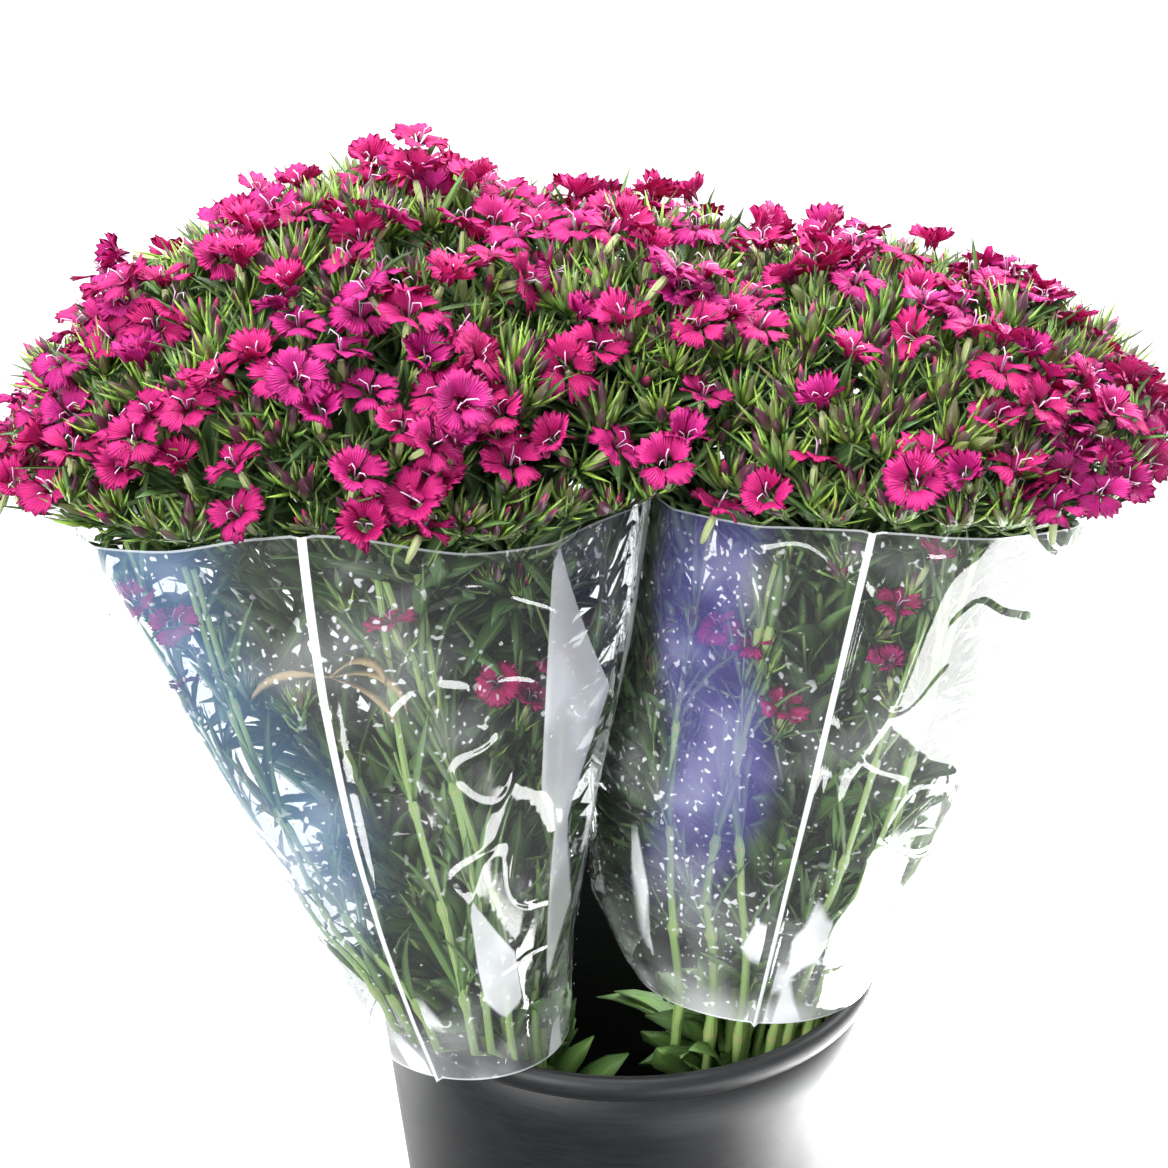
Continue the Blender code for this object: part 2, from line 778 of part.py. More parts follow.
def place_leaf(bunch, joint, along, turn, stem, rooms):
    """The first leaf near a turn that keeps clear of other stems, the film and the bucket."""
    across, beside = frame_along(along)
    for shrink in LEAF_SHRINKS:
        for nudge in LEAF_NUDGES:
            outward = around(across, beside, turn + nudge)
            width = LEAF_HALF_WIDTH * math.sqrt(shrink)
            root = joint - along * 0.0013
            shape, balls = leaf_shape(root, along, outward, LEAF_LENGTH * shrink, width)
            guard, _ = leaf_shape(root, along, outward, LEAF_LENGTH * shrink, width + 0.002)
            if not inside_sleeve(bunch.sleeve, balls) or not inside_bucket(balls):
                continue
            if not rooms.fixed.free(guard) or not rooms.spikes.free(guard):
                continue
            if rooms.stems.free(guard, stem):
                rooms.stems.add(stem, guard)
                return shape
    return None


def leaf_shapes(bunch, joints, stem, rooms, draw):
    """Leaf pairs at a stem's joints, each pair turned from the one below."""
    shapes = []
    first = draw.uniform(0.0, 2.0 * math.pi)
    for number, (joint, along) in enumerate(joints):
        turn = first + number * math.radians(97.0)
        for side in range(2):
            shape = place_leaf(bunch, joint, along, turn + math.pi * side, stem, rooms)
            if shape is not None:
                shapes.append(shape)
    return shapes


def bucket(material):
    """The moulded bucket: base, flared wall and rolled lip, as one turned solid."""
    neck_z = BUCKET_HEIGHT - RIM_DROP
    inner_neck = BUCKET_NECK_RADIUS - BUCKET_WALL
    profile = (
        (0.0, 0.0),
        (BUCKET_BASE_RADIUS - FOOT_ROUND, 0.0),
        (BUCKET_BASE_RADIUS, FOOT_ROUND),
        (BUCKET_NECK_RADIUS, neck_z),
        (RIM_RADIUS, neck_z + 0.0015),
        (RIM_RADIUS, BUCKET_HEIGHT - 0.0025),
        (RIM_RADIUS - 0.0030, BUCKET_HEIGHT),
        (inner_neck + 0.0006, BUCKET_HEIGHT - 0.0022),
        (inner_neck, neck_z),
        (BUCKET_BASE_RADIUS - BUCKET_WALL, FOOT_ROUND + 0.002),
        (BUCKET_BASE_RADIUS - BUCKET_WALL - 0.004, BUCKET_WALL),
        (0.0, BUCKET_WALL),
    )
    made = lathe("bucket", profile, BUCKET_SIDES, material)
    shade_round(made, 30.0)
    return made


def water(feet, material):
    """The water in the bucket, with a plain hole round each stem."""
    # The middle of a flat side of the bucket lies nearer in than its corners.
    flat_side = math.cos(math.pi / BUCKET_SIDES)
    low = BUCKET_WALL + TOUCH_GAP
    wall_foot = FOOT_ROUND + 0.002
    profile = (
        (0.0, low),
        ((wall_radius(0.0) - 0.006) * flat_side, low),
        (wall_radius(0.0) * flat_side - TOUCH_GAP, wall_foot),
        (wall_radius(WATER_LEVEL) * flat_side - TOUCH_GAP, WATER_LEVEL),
        (0.0, WATER_LEVEL),
    )
    made = lathe("water", profile, WATER_SIDES, material)
    hole_radius = (STEM_FOOT_RADIUS + TOUCH_GAP) / math.cos(math.pi / HOLE_SIDES)
    holes = []
    for foot, neck in feet:
        down = (foot - neck).normalized()
        above = foot.lerp(neck, 1.15 * WATER_LEVEL / BUCKET_HEIGHT)
        holes.append(tube([foot + down * 0.008, above], [hole_radius] * 2, HOLE_SIDES))
    combine(made, holes, "DIFFERENCE")
    return made


def sleeve_turns(crease):
    """Compass turns round a sleeve, each with how far it is into a crease (0 or 1)."""
    turns = []
    for side in range(2):
        start = crease + math.pi * side
        turns.append((start, 1.0))
        span = math.pi - 2.0 * CREASE_HALF_ANGLE
        for k in range(SLEEVE_ARCS + 1):
            turns.append((start + CREASE_HALF_ANGLE + span * k / SLEEVE_ARCS, 0.0))
    return turns


def sleeve_edge_rise(sleeve, turn):
    """How far the top edge climbs towards the front crease."""
    apart = math.remainder(turn - math.radians(sleeve.crease_deg), 2.0 * math.pi)
    return sleeve.crease_rise * math.exp(-((apart / CREASE_RISE_WIDTH) ** 2))


def sleeve_shape(sleeve):
    """A clear sleeve as one thin closed wall, open at the top and the bottom."""
    turns = sleeve_turns(math.radians(sleeve.crease_deg))
    vertices = []
    for thickness in (0.0, FILM):
        for share in SLEEVE_LEVELS:
            centre, radii = sleeve_section(sleeve, share)
            for turn, crease in turns:
                stand = crease * (CREASE_STAND - thickness * 2.0) - thickness
                rise = sleeve_edge_rise(sleeve, turn) * share**3
                aside = (math.cos(turn) * (radii[0] + stand), math.sin(turn) * (radii[1] + stand))
                vertices.append(centre + Vector((*aside, rise)))
    count = len(turns)
    levels = len(SLEEVE_LEVELS)
    faces = []
    for wall in range(2):
        for level in range(levels - 1):
            low = (wall * levels + level) * count
            for k in range(count):
                after = (k + 1) % count
                corners = [low + k, low + after, low + count + after, low + count + k]
                faces.append(corners if wall == 0 else corners[::-1])
    for level, flip in ((0, True), (levels - 1, False)):
        outer = level * count
        inner = (levels + level) * count
        for k in range(count):
            after = (k + 1) % count
            corners = [outer + k, outer + after, inner + after, inner + k]
            faces.append(corners[::-1] if flip else corners)
    return vertices, faces


def flower_sites(points, normals, chosen, draw):
    """The flowers as (centre, axis, radius). Each is as wide as its neighbours leave room for."""
    centres = points[chosen]
    apart = np.linalg.norm(centres[:, None, :] - centres[None, :, :], axis=2)
    np.fill_diagonal(apart, 1.0)
    sites = []
    for k, number in enumerate(chosen):
        axis = tilted(Vector(normals[number]), draw.uniform(0.0, FLOWER_TILT), draw.uniform(0.0, 6.28))
        radius = min(FLOWER_RADIUS, apart[k].min() / 2.0 - FLOWER_SPARE)
        sites.append((Vector(points[number]), axis, radius))
    return sites


def stems_of(heads):
    """(bunch, name, numbers of its heads) for each stem, in the order of the heads."""
    stems = []
    first = 0
    for bunch in BUNCHES:
        last = first + len(head_places(bunch))
        for stem, number in enumerate(range(first, last, 2), start=1):
            stems.append((bunch, f"{bunch.side}_{stem:02d}", list(range(number, min(number + 2, last)))))
        first = last
    return stems


def canopy(rooms, draw):
    """The heads, their bloom shapes, and for each head the gaps where buds may stand."""
    points, normals = canopy_points()
    chosen = spread_evenly(points, FLOWERS, draw)
    flowers = flower_sites(points, normals, chosen, draw)
    gaps = bud_places(points, points[chosen])
    places = np.array([place for bunch in BUNCHES for place in head_places(bunch)])
    heads = regroup(places, points, normals, points[chosen])
    places = np.array([tuple(head.place) for head in heads])
    flower_owner, _ = nearest(points[chosen], places)
    bud_owner, _ = nearest(points[gaps], places)
    blooms = []
    tips = []
    for number, head in enumerate(heads):
        own = [flower for k, flower in enumerate(flowers) if flower_owner[k] == number]
        blooms.append(bloom_shape(head, own))
        rooms.fixed.add(number, blooms[-1])
        tips.append([(Vector(points[gap]), Vector(normals[gap]))
                     for k, gap in enumerate(gaps) if bud_owner[k] == number])
    return heads, blooms, tips


def stem_shapes(bunch, heads, stem, rooms):
    """One stem with its branches. Returns its shapes, its ends and its joints."""
    foot, neck, fork = stem_route(bunch, heads)
    shape, joints = stem_shape(foot, neck, fork)
    shapes = [shape]
    for head in heads:
        branch = branch_points(neck, fork, head)
        shapes.append(tube(branch, [BRANCH_RADIUS] * len(branch), STEM_SIDES))
        bottom = head.crown - head.facing * CROWN_DEPTH
        rooms.stems.add(stem, tube([bottom, head.crown], [CROWN_RADIUS] * 2, 6))
    for shape in shapes:
        rooms.stems.add(stem, shape)
    return shapes, (foot, neck), joints


def main():
    clear_scene()
    draw = random.Random(SEED)
    leaf_green = finish("leaf_green", LEAF_GREEN, 0.55)
    petal_pink = finish("petal_pink", PETAL_PINK, 0.45)
    rooms = Rooms(Room(), Room(), Room())
    for bunch in BUNCHES:
        rooms.fixed.add(bunch.side, sleeve_shape(bunch.sleeve))
    heads, blooms, tips = canopy(rooms, draw)
    stems = stems_of(heads)
    parts = []
    for stem, (bunch, _, numbers) in enumerate(stems):
        parts.append(stem_shapes(bunch, [heads[k] for k in numbers], stem, rooms))
    buds = {}
    for stem, (_, _, numbers) in enumerate(stems):
        for k in numbers:
            upright = gap_buds(heads[k], tips[k], stem, rooms, draw)
            buds[k] = side_buds(heads[k], upright, stem, rooms)
    for stem, (_, _, numbers) in enumerate(stems):
        for k in numbers:
            parts[stem][0].append(crown_shape(heads[k], buds[k], stem, rooms))
    for stem, (bunch, name, numbers) in enumerate(stems):
        shapes, _, joints = parts[stem]
        shapes += leaf_shapes(bunch, joints, stem, rooms, draw)
        body = mesh_object(f"spray_{name}", shapes[0], leaf_green)
        combine(body, shapes[1:], "UNION")
        for letter, k in zip("ab", numbers):
            mesh_object(f"flowers_{name}_{letter}", blooms[k], petal_pink)
    bucket(finish("bucket_black", BUCKET_BLACK, 0.38))
    water([ends for _, ends, _ in parts], finish("water_clear", WATER_CLEAR, 0.08, 0.5))
    film = finish("film_clear", FILM_CLEAR, 0.12, 0.3)
    for bunch in BUNCHES:
        made = mesh_object(f"sleeve_{bunch.side}", sleeve_shape(bunch.sleeve), film)
        shade_round(made, 25.0)


main()
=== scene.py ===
"""Two bunches of cut dianthus in clear sleeves, in a round flower bucket, dressed for a render.

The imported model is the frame. Every piece is in metres in its coordinates and rides on its one
body. The file is laid out as an add-on and is run as a script.
"""

import functools
import math
from collections import namedtuple

import bpy
import numpy as np
from bpy.props import FloatProperty, FloatVectorProperty, IntProperty, PointerProperty
from bpy.types import Operator, Panel, PropertyGroup
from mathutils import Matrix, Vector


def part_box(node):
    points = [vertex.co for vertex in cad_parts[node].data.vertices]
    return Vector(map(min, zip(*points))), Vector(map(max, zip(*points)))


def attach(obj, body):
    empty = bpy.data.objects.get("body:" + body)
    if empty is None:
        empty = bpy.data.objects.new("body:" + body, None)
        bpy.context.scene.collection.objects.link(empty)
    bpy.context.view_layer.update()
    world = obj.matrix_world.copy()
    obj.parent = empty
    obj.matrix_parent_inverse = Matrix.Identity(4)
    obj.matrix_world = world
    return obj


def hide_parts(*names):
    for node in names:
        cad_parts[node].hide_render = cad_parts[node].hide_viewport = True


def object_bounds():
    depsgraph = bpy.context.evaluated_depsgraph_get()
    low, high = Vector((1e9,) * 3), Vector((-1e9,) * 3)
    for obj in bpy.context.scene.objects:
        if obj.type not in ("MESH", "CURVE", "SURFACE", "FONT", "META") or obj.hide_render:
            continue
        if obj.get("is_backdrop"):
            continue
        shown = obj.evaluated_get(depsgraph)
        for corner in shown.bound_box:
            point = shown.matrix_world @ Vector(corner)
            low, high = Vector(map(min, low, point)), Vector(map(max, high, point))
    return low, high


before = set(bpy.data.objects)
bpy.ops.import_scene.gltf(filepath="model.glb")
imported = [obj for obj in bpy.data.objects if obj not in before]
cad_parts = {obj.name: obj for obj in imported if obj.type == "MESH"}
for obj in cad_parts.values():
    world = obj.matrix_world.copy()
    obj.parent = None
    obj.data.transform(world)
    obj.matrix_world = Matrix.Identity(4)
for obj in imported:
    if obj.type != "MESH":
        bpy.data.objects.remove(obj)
CAD_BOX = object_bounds()

bl_info = {
    "name": "Dianthus Bucket",
    "version": (1, 0, 0),
    "blender": (4, 5, 0),
    "location": "3D View > Sidebar > Dianthus",
    "description": "Dresses a packed bucket of cut dianthus with film, stems, leaves and flowers",
    "category": "Object",
}

SEED = 23
UP = np.array((0.0, 0.0, 1.0))

# The bucket and its water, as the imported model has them.
BUCKET_HEIGHT = 0.300
BASE_RADIUS = 0.113
NECK_RADIUS = 0.1415
RIM_RADIUS = 0.1465
RIM_DROP = 0.014
BUCKET_WALL = 0.0024
WATER_LEVEL = 0.080

# The canopy's domes, and the sleeves under them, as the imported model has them, but for the way
# that the sleeves press against each other and that their creases lean.
Dome = namedtuple("Dome", "centre radius low high")
Sleeve = namedtuple("Sleeve", "low low_radii high high_radii crease_degs crease_rise bulge press_deg press")
Bunch = namedtuple("Bunch", "side foot neck neck_radius dome sleeve stems")
BUNCHES = (
    Bunch(
        side="left",
        foot=(-0.050, -0.040),
        neck=(-0.067, -0.074),
        neck_radius=0.030,
        dome=Dome((-0.135, 0.020), 0.190, 0.570, 0.726),
        sleeve=Sleeve(
            low=(-0.079, -0.088, 0.3003),
            low_radii=(0.056, 0.056),
            high=(-0.148, 0.004, 0.572),
            high_radii=(0.147, 0.161),
            crease_degs=(-106.0, -88.5),
            crease_rise=0.020,
            bulge=0.008,
            press_deg=0.0,
            press=(-0.006, -0.012, -0.008, 0.004, 0.012),
        ),
        stems=8,
    ),
    Bunch(
        side="right",
        foot=(0.050, -0.018),
        neck=(0.073, -0.034),
        neck_radius=0.034,
        dome=Dome((0.120, 0.020), 0.162, 0.570, 0.690),
        sleeve=Sleeve(
            low=(0.079, -0.035, 0.3003),
            low_radii=(0.060, 0.060),
            high=(0.130, 0.022, 0.572),
            high_radii=(0.127, 0.137),
            crease_degs=(-100.5, -98.5),
            crease_rise=0.007,
            bulge=0.006,
            press_deg=180.0,
            press=(0.014, 0.032, 0.028, 0.006, -0.002),
        ),
        stems=7,
    ),
)
SADDLE = Dome((-0.006, 0.014), 0.146, 0.570, 0.711)
DOMES = (BUNCHES[0].dome, BUNCHES[1].dome, SADDLE)

# How finely the domes are sampled, the lowest point kept, and how far left and right flowers stand.
SURFACE_POINTS = 6000
SURFACE_FLOOR = 0.586
CANOPY_ENDS = (-0.332, 0.276)

# Open flowers lie in patches of about this size, and some sites hold two of them.
PATCHES = 130
PATCH_SIZE = 0.022
DOUBLED_SHARE = 0.28
UNDER_FILM_FRONT = 14
UNDER_FILM_SITES = 20

# Depths below the flowers, the height of a stem's foot, and the widest that the necks may stand.
HEAD_DEPTH = 0.050
HUB_DEPTH = 0.052
STEM_FOOT = 0.0045
NECK_LIMIT = 0.128

# The shares of a sleeve's height at which its press is given, how wide round it the press reaches,
# how far out its contents stay loose, and how much room is left between there and the film.
PRESS_SHARES = (0.0, 0.16, 0.44, 0.73, 1.0)
PRESS_WIDTH = 0.8
LOOSE_SHARE = 0.84
LOOSE_ROOM = 0.115
PRESSED_ROOM = 0.03

# How many unlike shapes are made of each kind before they repeat.
BUD_SHAPES = 12
TUFT_SHAPES = 18
FLOWER_SHAPES = 21

# The material slots of the greenery, and those of the flowers.
STEM, LEAF, BUD, BRACT, DRIED = range(5)
PETAL, STYLE, CALYX = range(3)

# The turn from one leaf of a spiral to the next.
SPIRAL = 2.4

Weave = namedtuple("Weave", "loops totals along across inner")
Packed = namedtuple("Packed", "points loops totals along across draws slots")
Site = namedtuple("Site", "place facing kind size beside")
Hub = namedtuple("Hub", "bunch stem place facing sites")


def unit(vector):
    vector = np.asarray(vector, float)
    return vector / np.linalg.norm(vector)


def basis(facing, turn=0.0):
    """A rotation whose third column faces that way."""
    facing = unit(facing)
    helper = UP if abs(facing[2]) < 0.9 else np.array((1.0, 0.0, 0.0))
    across = unit(np.cross(helper, facing))
    beside = np.cross(facing, across)
    cos, sin = math.cos(turn), math.sin(turn)
    return np.column_stack((cos * across + sin * beside, cos * beside - sin * across, facing))


def tilted(facing, lean, turn):
    """That direction, leant by an angle towards a turn round it."""
    round_it = basis(facing, turn)
    return unit(round_it[:, 2] * math.cos(lean) + round_it[:, 0] * math.sin(lean))


def square_to(along, turn):
    """The direction at right angles to a way, at a turn round it."""
    return basis(along, turn)[:, 0]


def level(turn):
    """The level direction at a turn round +Z."""
    return np.array((math.cos(turn), math.sin(turn), 0.0))


def any_turn(rng):
    return rng.uniform(0.0, 6.28)


def smooth(low, high, values):
    share = np.clip((np.asarray(values, float) - low) / (high - low), 0.0, 1.0)
    return share * share * (3.0 - 2.0 * share)


# Meshes of repeats


@functools.lru_cache(maxsize=None)
def tube_weave(rings, sides):
    """The faces of a closed tube."""
    loops = []
    for ring in range(rings - 1):
        for k in range(sides):
            after = (k + 1) % sides
            low, high = ring * sides, (ring + 1) * sides
            loops += [low + k, low + after, high + after, high + k]
    totals = [4] * ((rings - 1) * sides) + [sides, sides]
    loops += list(range(sides))[::-1]
    loops += [(rings - 1) * sides + k for k in range(sides)]
    along = np.repeat(np.linspace(0.0, 1.0, rings), sides)
    across = np.tile(np.abs(np.linspace(-1.0, 1.0, sides, endpoint=False)), rings)
    return Weave(np.array(loops), np.array(totals), along, across, None)


@functools.lru_cache(maxsize=None)
def blade_weave(rows, columns):
    """The faces of a thin closed blade, whose two sheets share their edge."""
    top = np.arange(rows * columns).reshape(rows, columns)
    below = top.copy()
    inner = np.zeros((rows, columns), bool)
    inner[1:-1, 1:-1] = True
    below[inner] = rows * columns + np.arange(inner.sum())
    loops = []
    for sheet, flip in ((top, False), (below, True)):
        corners = [sheet[:-1, :-1], sheet[:-1, 1:], sheet[1:, 1:], sheet[1:, :-1]]
        if flip:
            corners.reverse()
        loops.append(np.stack(corners, axis=-1).reshape(-1))
    count = 2 * (rows - 1) * (columns - 1)
    along, across = np.meshgrid(np.linspace(0, 1, rows), np.linspace(-1, 1, columns), indexing="ij")
    return Weave(
        np.concatenate(loops),
        np.full(count, 4),
        np.concatenate((along.reshape(-1), along[inner])),
        np.concatenate((across.reshape(-1), across[inner])),
        inner,
    )


def sweep(points, radii, sides):
    """The points of a tube along a path, with a radius at each of its points."""
    points = np.asarray(points, float)
    steps = np.diff(points, axis=0)
    steps /= np.linalg.norm(steps, axis=1)[:, None]
    tangents = np.vstack((steps[:1], steps[:-1] + steps[1:], steps[-1:]))
    side = basis(tangents[0])[:, 0]
    angles = np.arange(sides) * 2.0 * math.pi / sides
    rings = []
    for point, tangent, radius in zip(points, tangents, radii):
        tangent = unit(tangent)
        side = unit(side - tangent * (side @ tangent))
        beside = np.cross(tangent, side)
        rings.append(point + radius * (np.outer(np.cos(angles), side) + np.outer(np.sin(angles), beside)))
    return np.concatenate(rings), tube_weave(len(points), sides)


def turned_shape(profile, sides):
    """The points of a shape turned round +Z from (radius, height) pairs."""
    angles = np.arange(sides) * 2.0 * math.pi / sides
    rings = [
        np.column_stack((radius * np.cos(angles), radius * np.sin(angles), np.full(sides, height)))
        for radius, height in profile
    ]
    return np.concatenate(rings), tube_weave(len(profile), sides)


def linked(name, data):
    """An object of that data, in the scene."""
    made = bpy.data.objects.new(name, data)
    bpy.context.scene.collection.objects.link(made)
    return made


def write_layer(mesh, label, values):
    layer = mesh.attributes.new(label, "FLOAT", "POINT")
    layer.data.foreach_set("value", np.asarray(values, np.float32).reshape(-1))


class Growth:
    """Gathers shapes, then makes them one mesh with what its finishes read from it."""

    def __init__(self):
        self.parts = []
        self.count = 0

    def add(self, shape, slot, draw):
        points, weave = shape
        draws = np.full(len(points), draw)
        slots = np.full(len(weave.totals), slot)
        self._append(Packed(points, weave.loops, weave.totals, weave.along, weave.across, draws, slots))

    def put(self, packed, rotation, place, size=1.0, draw=0.0):
        """Adds a gathered shape, turned and moved into its place."""
        self._append(
            packed._replace(
                points=packed.points * size @ rotation.T + place,
                draws=(packed.draws + draw) % 1.0,
            )
        )

    def _append(self, packed):
        self.parts.append(packed._replace(loops=packed.loops + self.count))
        self.count += len(packed.points)

    def packed(self):
        return Packed(*(np.concatenate(values) for values in zip(*self.parts)))

    def make(self, name, finishes, shift=None):
        """One smooth object, its points first moved by a rule where one is given."""
        whole = self.packed()
        points = whole.points if shift is None else shift(whole.points)
        mesh = bpy.data.meshes.new(name)
        mesh.vertices.add(len(points))
        mesh.vertices.foreach_set("co", points.astype(np.float32).ravel())
        mesh.loops.add(len(whole.loops))
        mesh.loops.foreach_set("vertex_index", whole.loops.astype(np.int32))
        mesh.polygons.add(len(whole.totals))
        starts = np.concatenate(([0], np.cumsum(whole.totals)[:-1]))
        mesh.polygons.foreach_set("loop_start", starts.astype(np.int32))
        mesh.polygons.foreach_set("material_index", whole.slots.astype(np.int32))
        for label, values in (("along", whole.along), ("across", whole.across), ("draw", whole.draws)):
            write_layer(mesh, label, values)
        mesh.update(calc_edges=True)
        mesh.shade_smooth()
        for finish in finishes:
            mesh.materials.append(finish)
        return linked(name, mesh)


def settle(piece, slot, *nodes):
    """A finished piece rides on the body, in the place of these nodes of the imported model."""
    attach(piece, "root")
    if nodes:
        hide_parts(*nodes)
    return piece


# Finishes


class Signal:
    """A socket of a material, which takes part in plain arithmetic."""

    def __init__(self, finish, socket):
        self.finish = finish
        self.socket = socket

    def _math(self, operation, first, second):
        return self.finish.node("ShaderNodeMath", {"operation": operation}, {0: first, 1: second})

    def __add__(self, other):
        return self._math("ADD", self, other)

    __radd__ = __add__

    def __sub__(self, other):
        return self._math("SUBTRACT", self, other)

    def __rsub__(self, other):
        return self._math("SUBTRACT", other, self)

    def __mul__(self, other):
        return self._math("MULTIPLY", self, other)

    __rmul__ = __mul__

    def __pow__(self, other):
        return self._math("POWER", self, other)

    def __abs__(self):
        return self._math("ABSOLUTE", self, 0.0)

    def sine(self):
        return self._math("SINE", self, 0.0)

    def between(self, low, high):
        """0 below low and 1 above high, with a smooth rise."""
        settings = {"interpolation_type": "SMOOTHSTEP"}
        sockets = {"Value": self, "From Min": low, "From Max": high}
        return self.finish.node("ShaderNodeMapRange", settings, sockets)


class Finish:
    """A material, and the one way that its nodes are made."""

    def __init__(self, name):
        self.material = bpy.data.materials.new(name)
        self.material.use_nodes = True
        self.tree = self.material.node_tree
        self.tree.nodes.clear()

    def node(self, kind, settings=None, sockets=None, output=0):
        """Makes a node: its settings first, then what its sockets hold or are linked to."""
        made = self.tree.nodes.new(kind)
        for key, value in (settings or {}).items():
            setattr(made, key, value)
        for key, value in (sockets or {}).items():
            socket = made.inputs[key]
            if isinstance(value, Signal):
                self.tree.links.new(value.socket, socket)
            else:
                socket.default_value = value
        return Signal(self, made.outputs[output])

    def given(self, label):
        return self.node("ShaderNodeAttribute", {"attribute_name": label}, output=2)

    def place(self):
        return self.node("ShaderNodeNewGeometry", output=0)

    def noise(self, scale, detail=3.0, roughness=0.55):
        sockets = {"Vector": self.place(), "Scale": scale, "Detail": detail, "Roughness": roughness}
        return self.node("ShaderNodeTexNoise", None, sockets)

    def ribs(self, count):
        """Ribs side by side along the piece, from 0 between them to 1 on them."""
        return (self.given("across") * count).sine() * 0.5 + 0.5

    def mix(self, share, low, high):
        """A colour between two colours."""
        sockets = {0: share, 6: colour(low), 7: colour(high)}
        return self.node("ShaderNodeMix", {"data_type": "RGBA"}, sockets, output=2)

    def bump(self, height, distance, strength=1.0):
        sockets = {"Height": height, "Distance": distance, "Strength": strength}
        return self.node("ShaderNodeBump", None, sockets)

    def principled(self, **sockets):
        named = {key.replace("_", " "): colour(value) for key, value in sockets.items()}
        return self.node("ShaderNodeBsdfPrincipled", None, named)

    def mixed(self, share, first, second):
        return self.node("ShaderNodeMixShader", None, {0: share, 1: first, 2: second})

    def done(self, shader):
        end = self.tree.nodes.new("ShaderNodeOutputMaterial")
        self.tree.links.new(shader.socket, end.inputs["Surface"])
        return self.material


def colour(value):
    """An RGB triple with its alpha, and anything else as it is."""
    if isinstance(value, (Signal, float, int)):
        return value
    value = tuple(value)
    return (*value, 1.0) if len(value) == 3 else value


def petal_finish(settings):
    """A velvety petal: fine radial creases darkened by painted shade, darker towards the throat, and a paler
    toothed edge with a painted sheen.
    """
    made = Finish("petal")
    along, across, draw = made.given("along"), made.given("across"), made.given("draw")
    waver = made.noise(260.0, 0.0) * 2.6
    creases = (across * 37.0 + waver).sine() * 0.5 + 0.5
    depth = 1.0 - along.between(0.10, 0.60)
    body = made.mix(draw, settings.petal_colour, settings.petal_violet)
    # Painted sheen: paler towards the edge, over an edge that is paler itself.
    body = made.mix(along.between(0.55, 1.05) * 0.30, body, settings.petal_pale_and_sheen)
    # Paler patches at random, in the same pale colour.
    body = made.mix(made.noise(95.0, 1.0).between(0.42, 0.72) * 0.22, body, settings.petal_pale_and_sheen)
    # Painted shade in the creases, laid over darker veins and stronger towards the throat; then the petal
    # darkens towards its throat.
    body = made.mix(creases**2.0 * (0.30 + depth * 0.4), body, settings.petal_dark_and_shade)
    body = made.mix(depth * 0.38, body, settings.petal_dark_and_shade)
    normal = made.bump(creases, 0.0004, 0.8)
    face = made.principled(Base_Color=body, Roughness=0.52, Specular_IOR_Level=0.22, Normal=normal)
    glow = made.node("ShaderNodeBsdfTranslucent", None, {"Color": colour(settings.petal_glow)})
    return made.done(made.mixed(0.22, face, glow))


def style_finish(settings):
    made = Finish("style")
    tone = made.mix(made.given("along"), (0.62, 0.30, 0.55), settings.style_colour)
    return made.done(made.principled(Base_Color=tone, Roughness=0.45))


def calyx_finish(settings):
    """A pale ribbed tube whose teeth turn purple."""
    made = Finish("calyx")
    along = made.given("along")
    ribs = made.ribs(19.0)
    tone = made.mix(ribs * 0.45, settings.calyx_colour, settings.stem_colour)
    tone = made.mix(along.between(0.78, 1.0) * 0.5, tone, settings.tip_colour)
    return made.done(made.principled(Base_Color=tone, Roughness=0.48, Normal=made.bump(ribs, 0.0003)))


def bud_finish(settings):
    """A bud: green and ribbed below, purple where its petals will show."""
    made = Finish("bud")
    along, draw = made.given("along"), made.given("draw")
    ribs = made.ribs(15.0)
    tone = made.mix(draw.between(0.2, 0.9) * 0.6, settings.bud_colour, settings.calyx_colour)
    tone = made.mix(ribs * 0.35, tone, settings.leaf_dark_and_shade)
    tipped = along.between(0.08, 0.66) * (0.45 + draw.between(0.10, 0.5) * 0.55)
    tone = made.mix(tipped, tone, settings.tip_colour)
    blush = along.between(0.72, 1.0) * draw.between(0.80, 0.86)
    tone = made.mix(blush, tone, settings.petal_colour)
    return made.done(made.principled(Base_Color=tone, Roughness=0.46, Normal=made.bump(ribs, 0.0003)))


def bract_finish(settings):
    """A needle-like bract, bright at its base and dark at its point."""
    made = Finish("bract")
    along, draw = made.given("along"), made.given("draw")
    tone = made.mix(draw, settings.bract_colour, settings.leaf_colour)
    tone = made.mix(along.between(0.55, 1.0) * draw.between(0.2, 0.55) * 0.9, tone, settings.tip_colour)
    return made.done(made.principled(Base_Color=tone, Roughness=0.45))


def leaf_finish(settings):
    """A waxy leaf with a pale midrib, fine long veins and a soft bloom."""
    made = Finish("leaf")
    along, draw = made.given("along"), made.given("draw")
    side = abs(made.given("across"))
    rib = 1.0 - side.between(0.0, 0.16)
    veins = made.ribs(34.0) * side.between(0.05, 0.3)
    # A high draw paints a leaf dark: painted shade for the leaves deep in the bunch and between the sleeves.
    # Lower draws are the leaves' own tones.
    tone = made.mix(draw, settings.leaf_colour, settings.leaf_dark_and_shade)
    mottle = made.noise(55.0, 2.0).between(0.35, 0.7)
    # The darkest leaves, being painted shade, get almost no bloom.
    tone = made.mix(mottle * (0.45 - draw * 0.42), tone, settings.leaf_bloom)
    tone = made.mix(veins * 0.18, tone, settings.leaf_dark_and_shade)
    tone = made.mix(rib * 0.55 * (1.0 - along * 0.7), tone, settings.stem_colour)
    tone = made.mix(draw.between(0.93, 0.97) * along.between(0.3, 0.8) * 0.8, tone, (0.30, 0.19, 0.07))
    normal = made.bump(veins * 0.5 + rib, 0.0003, 0.7)
    face = made.principled(Base_Color=tone, Roughness=0.42 + mottle * 0.12, Normal=normal)
    glow = made.node("ShaderNodeBsdfTranslucent", None, {"Color": colour(settings.leaf_glow)})
    return made.done(made.mixed(0.22 - draw * 0.16, face, glow))


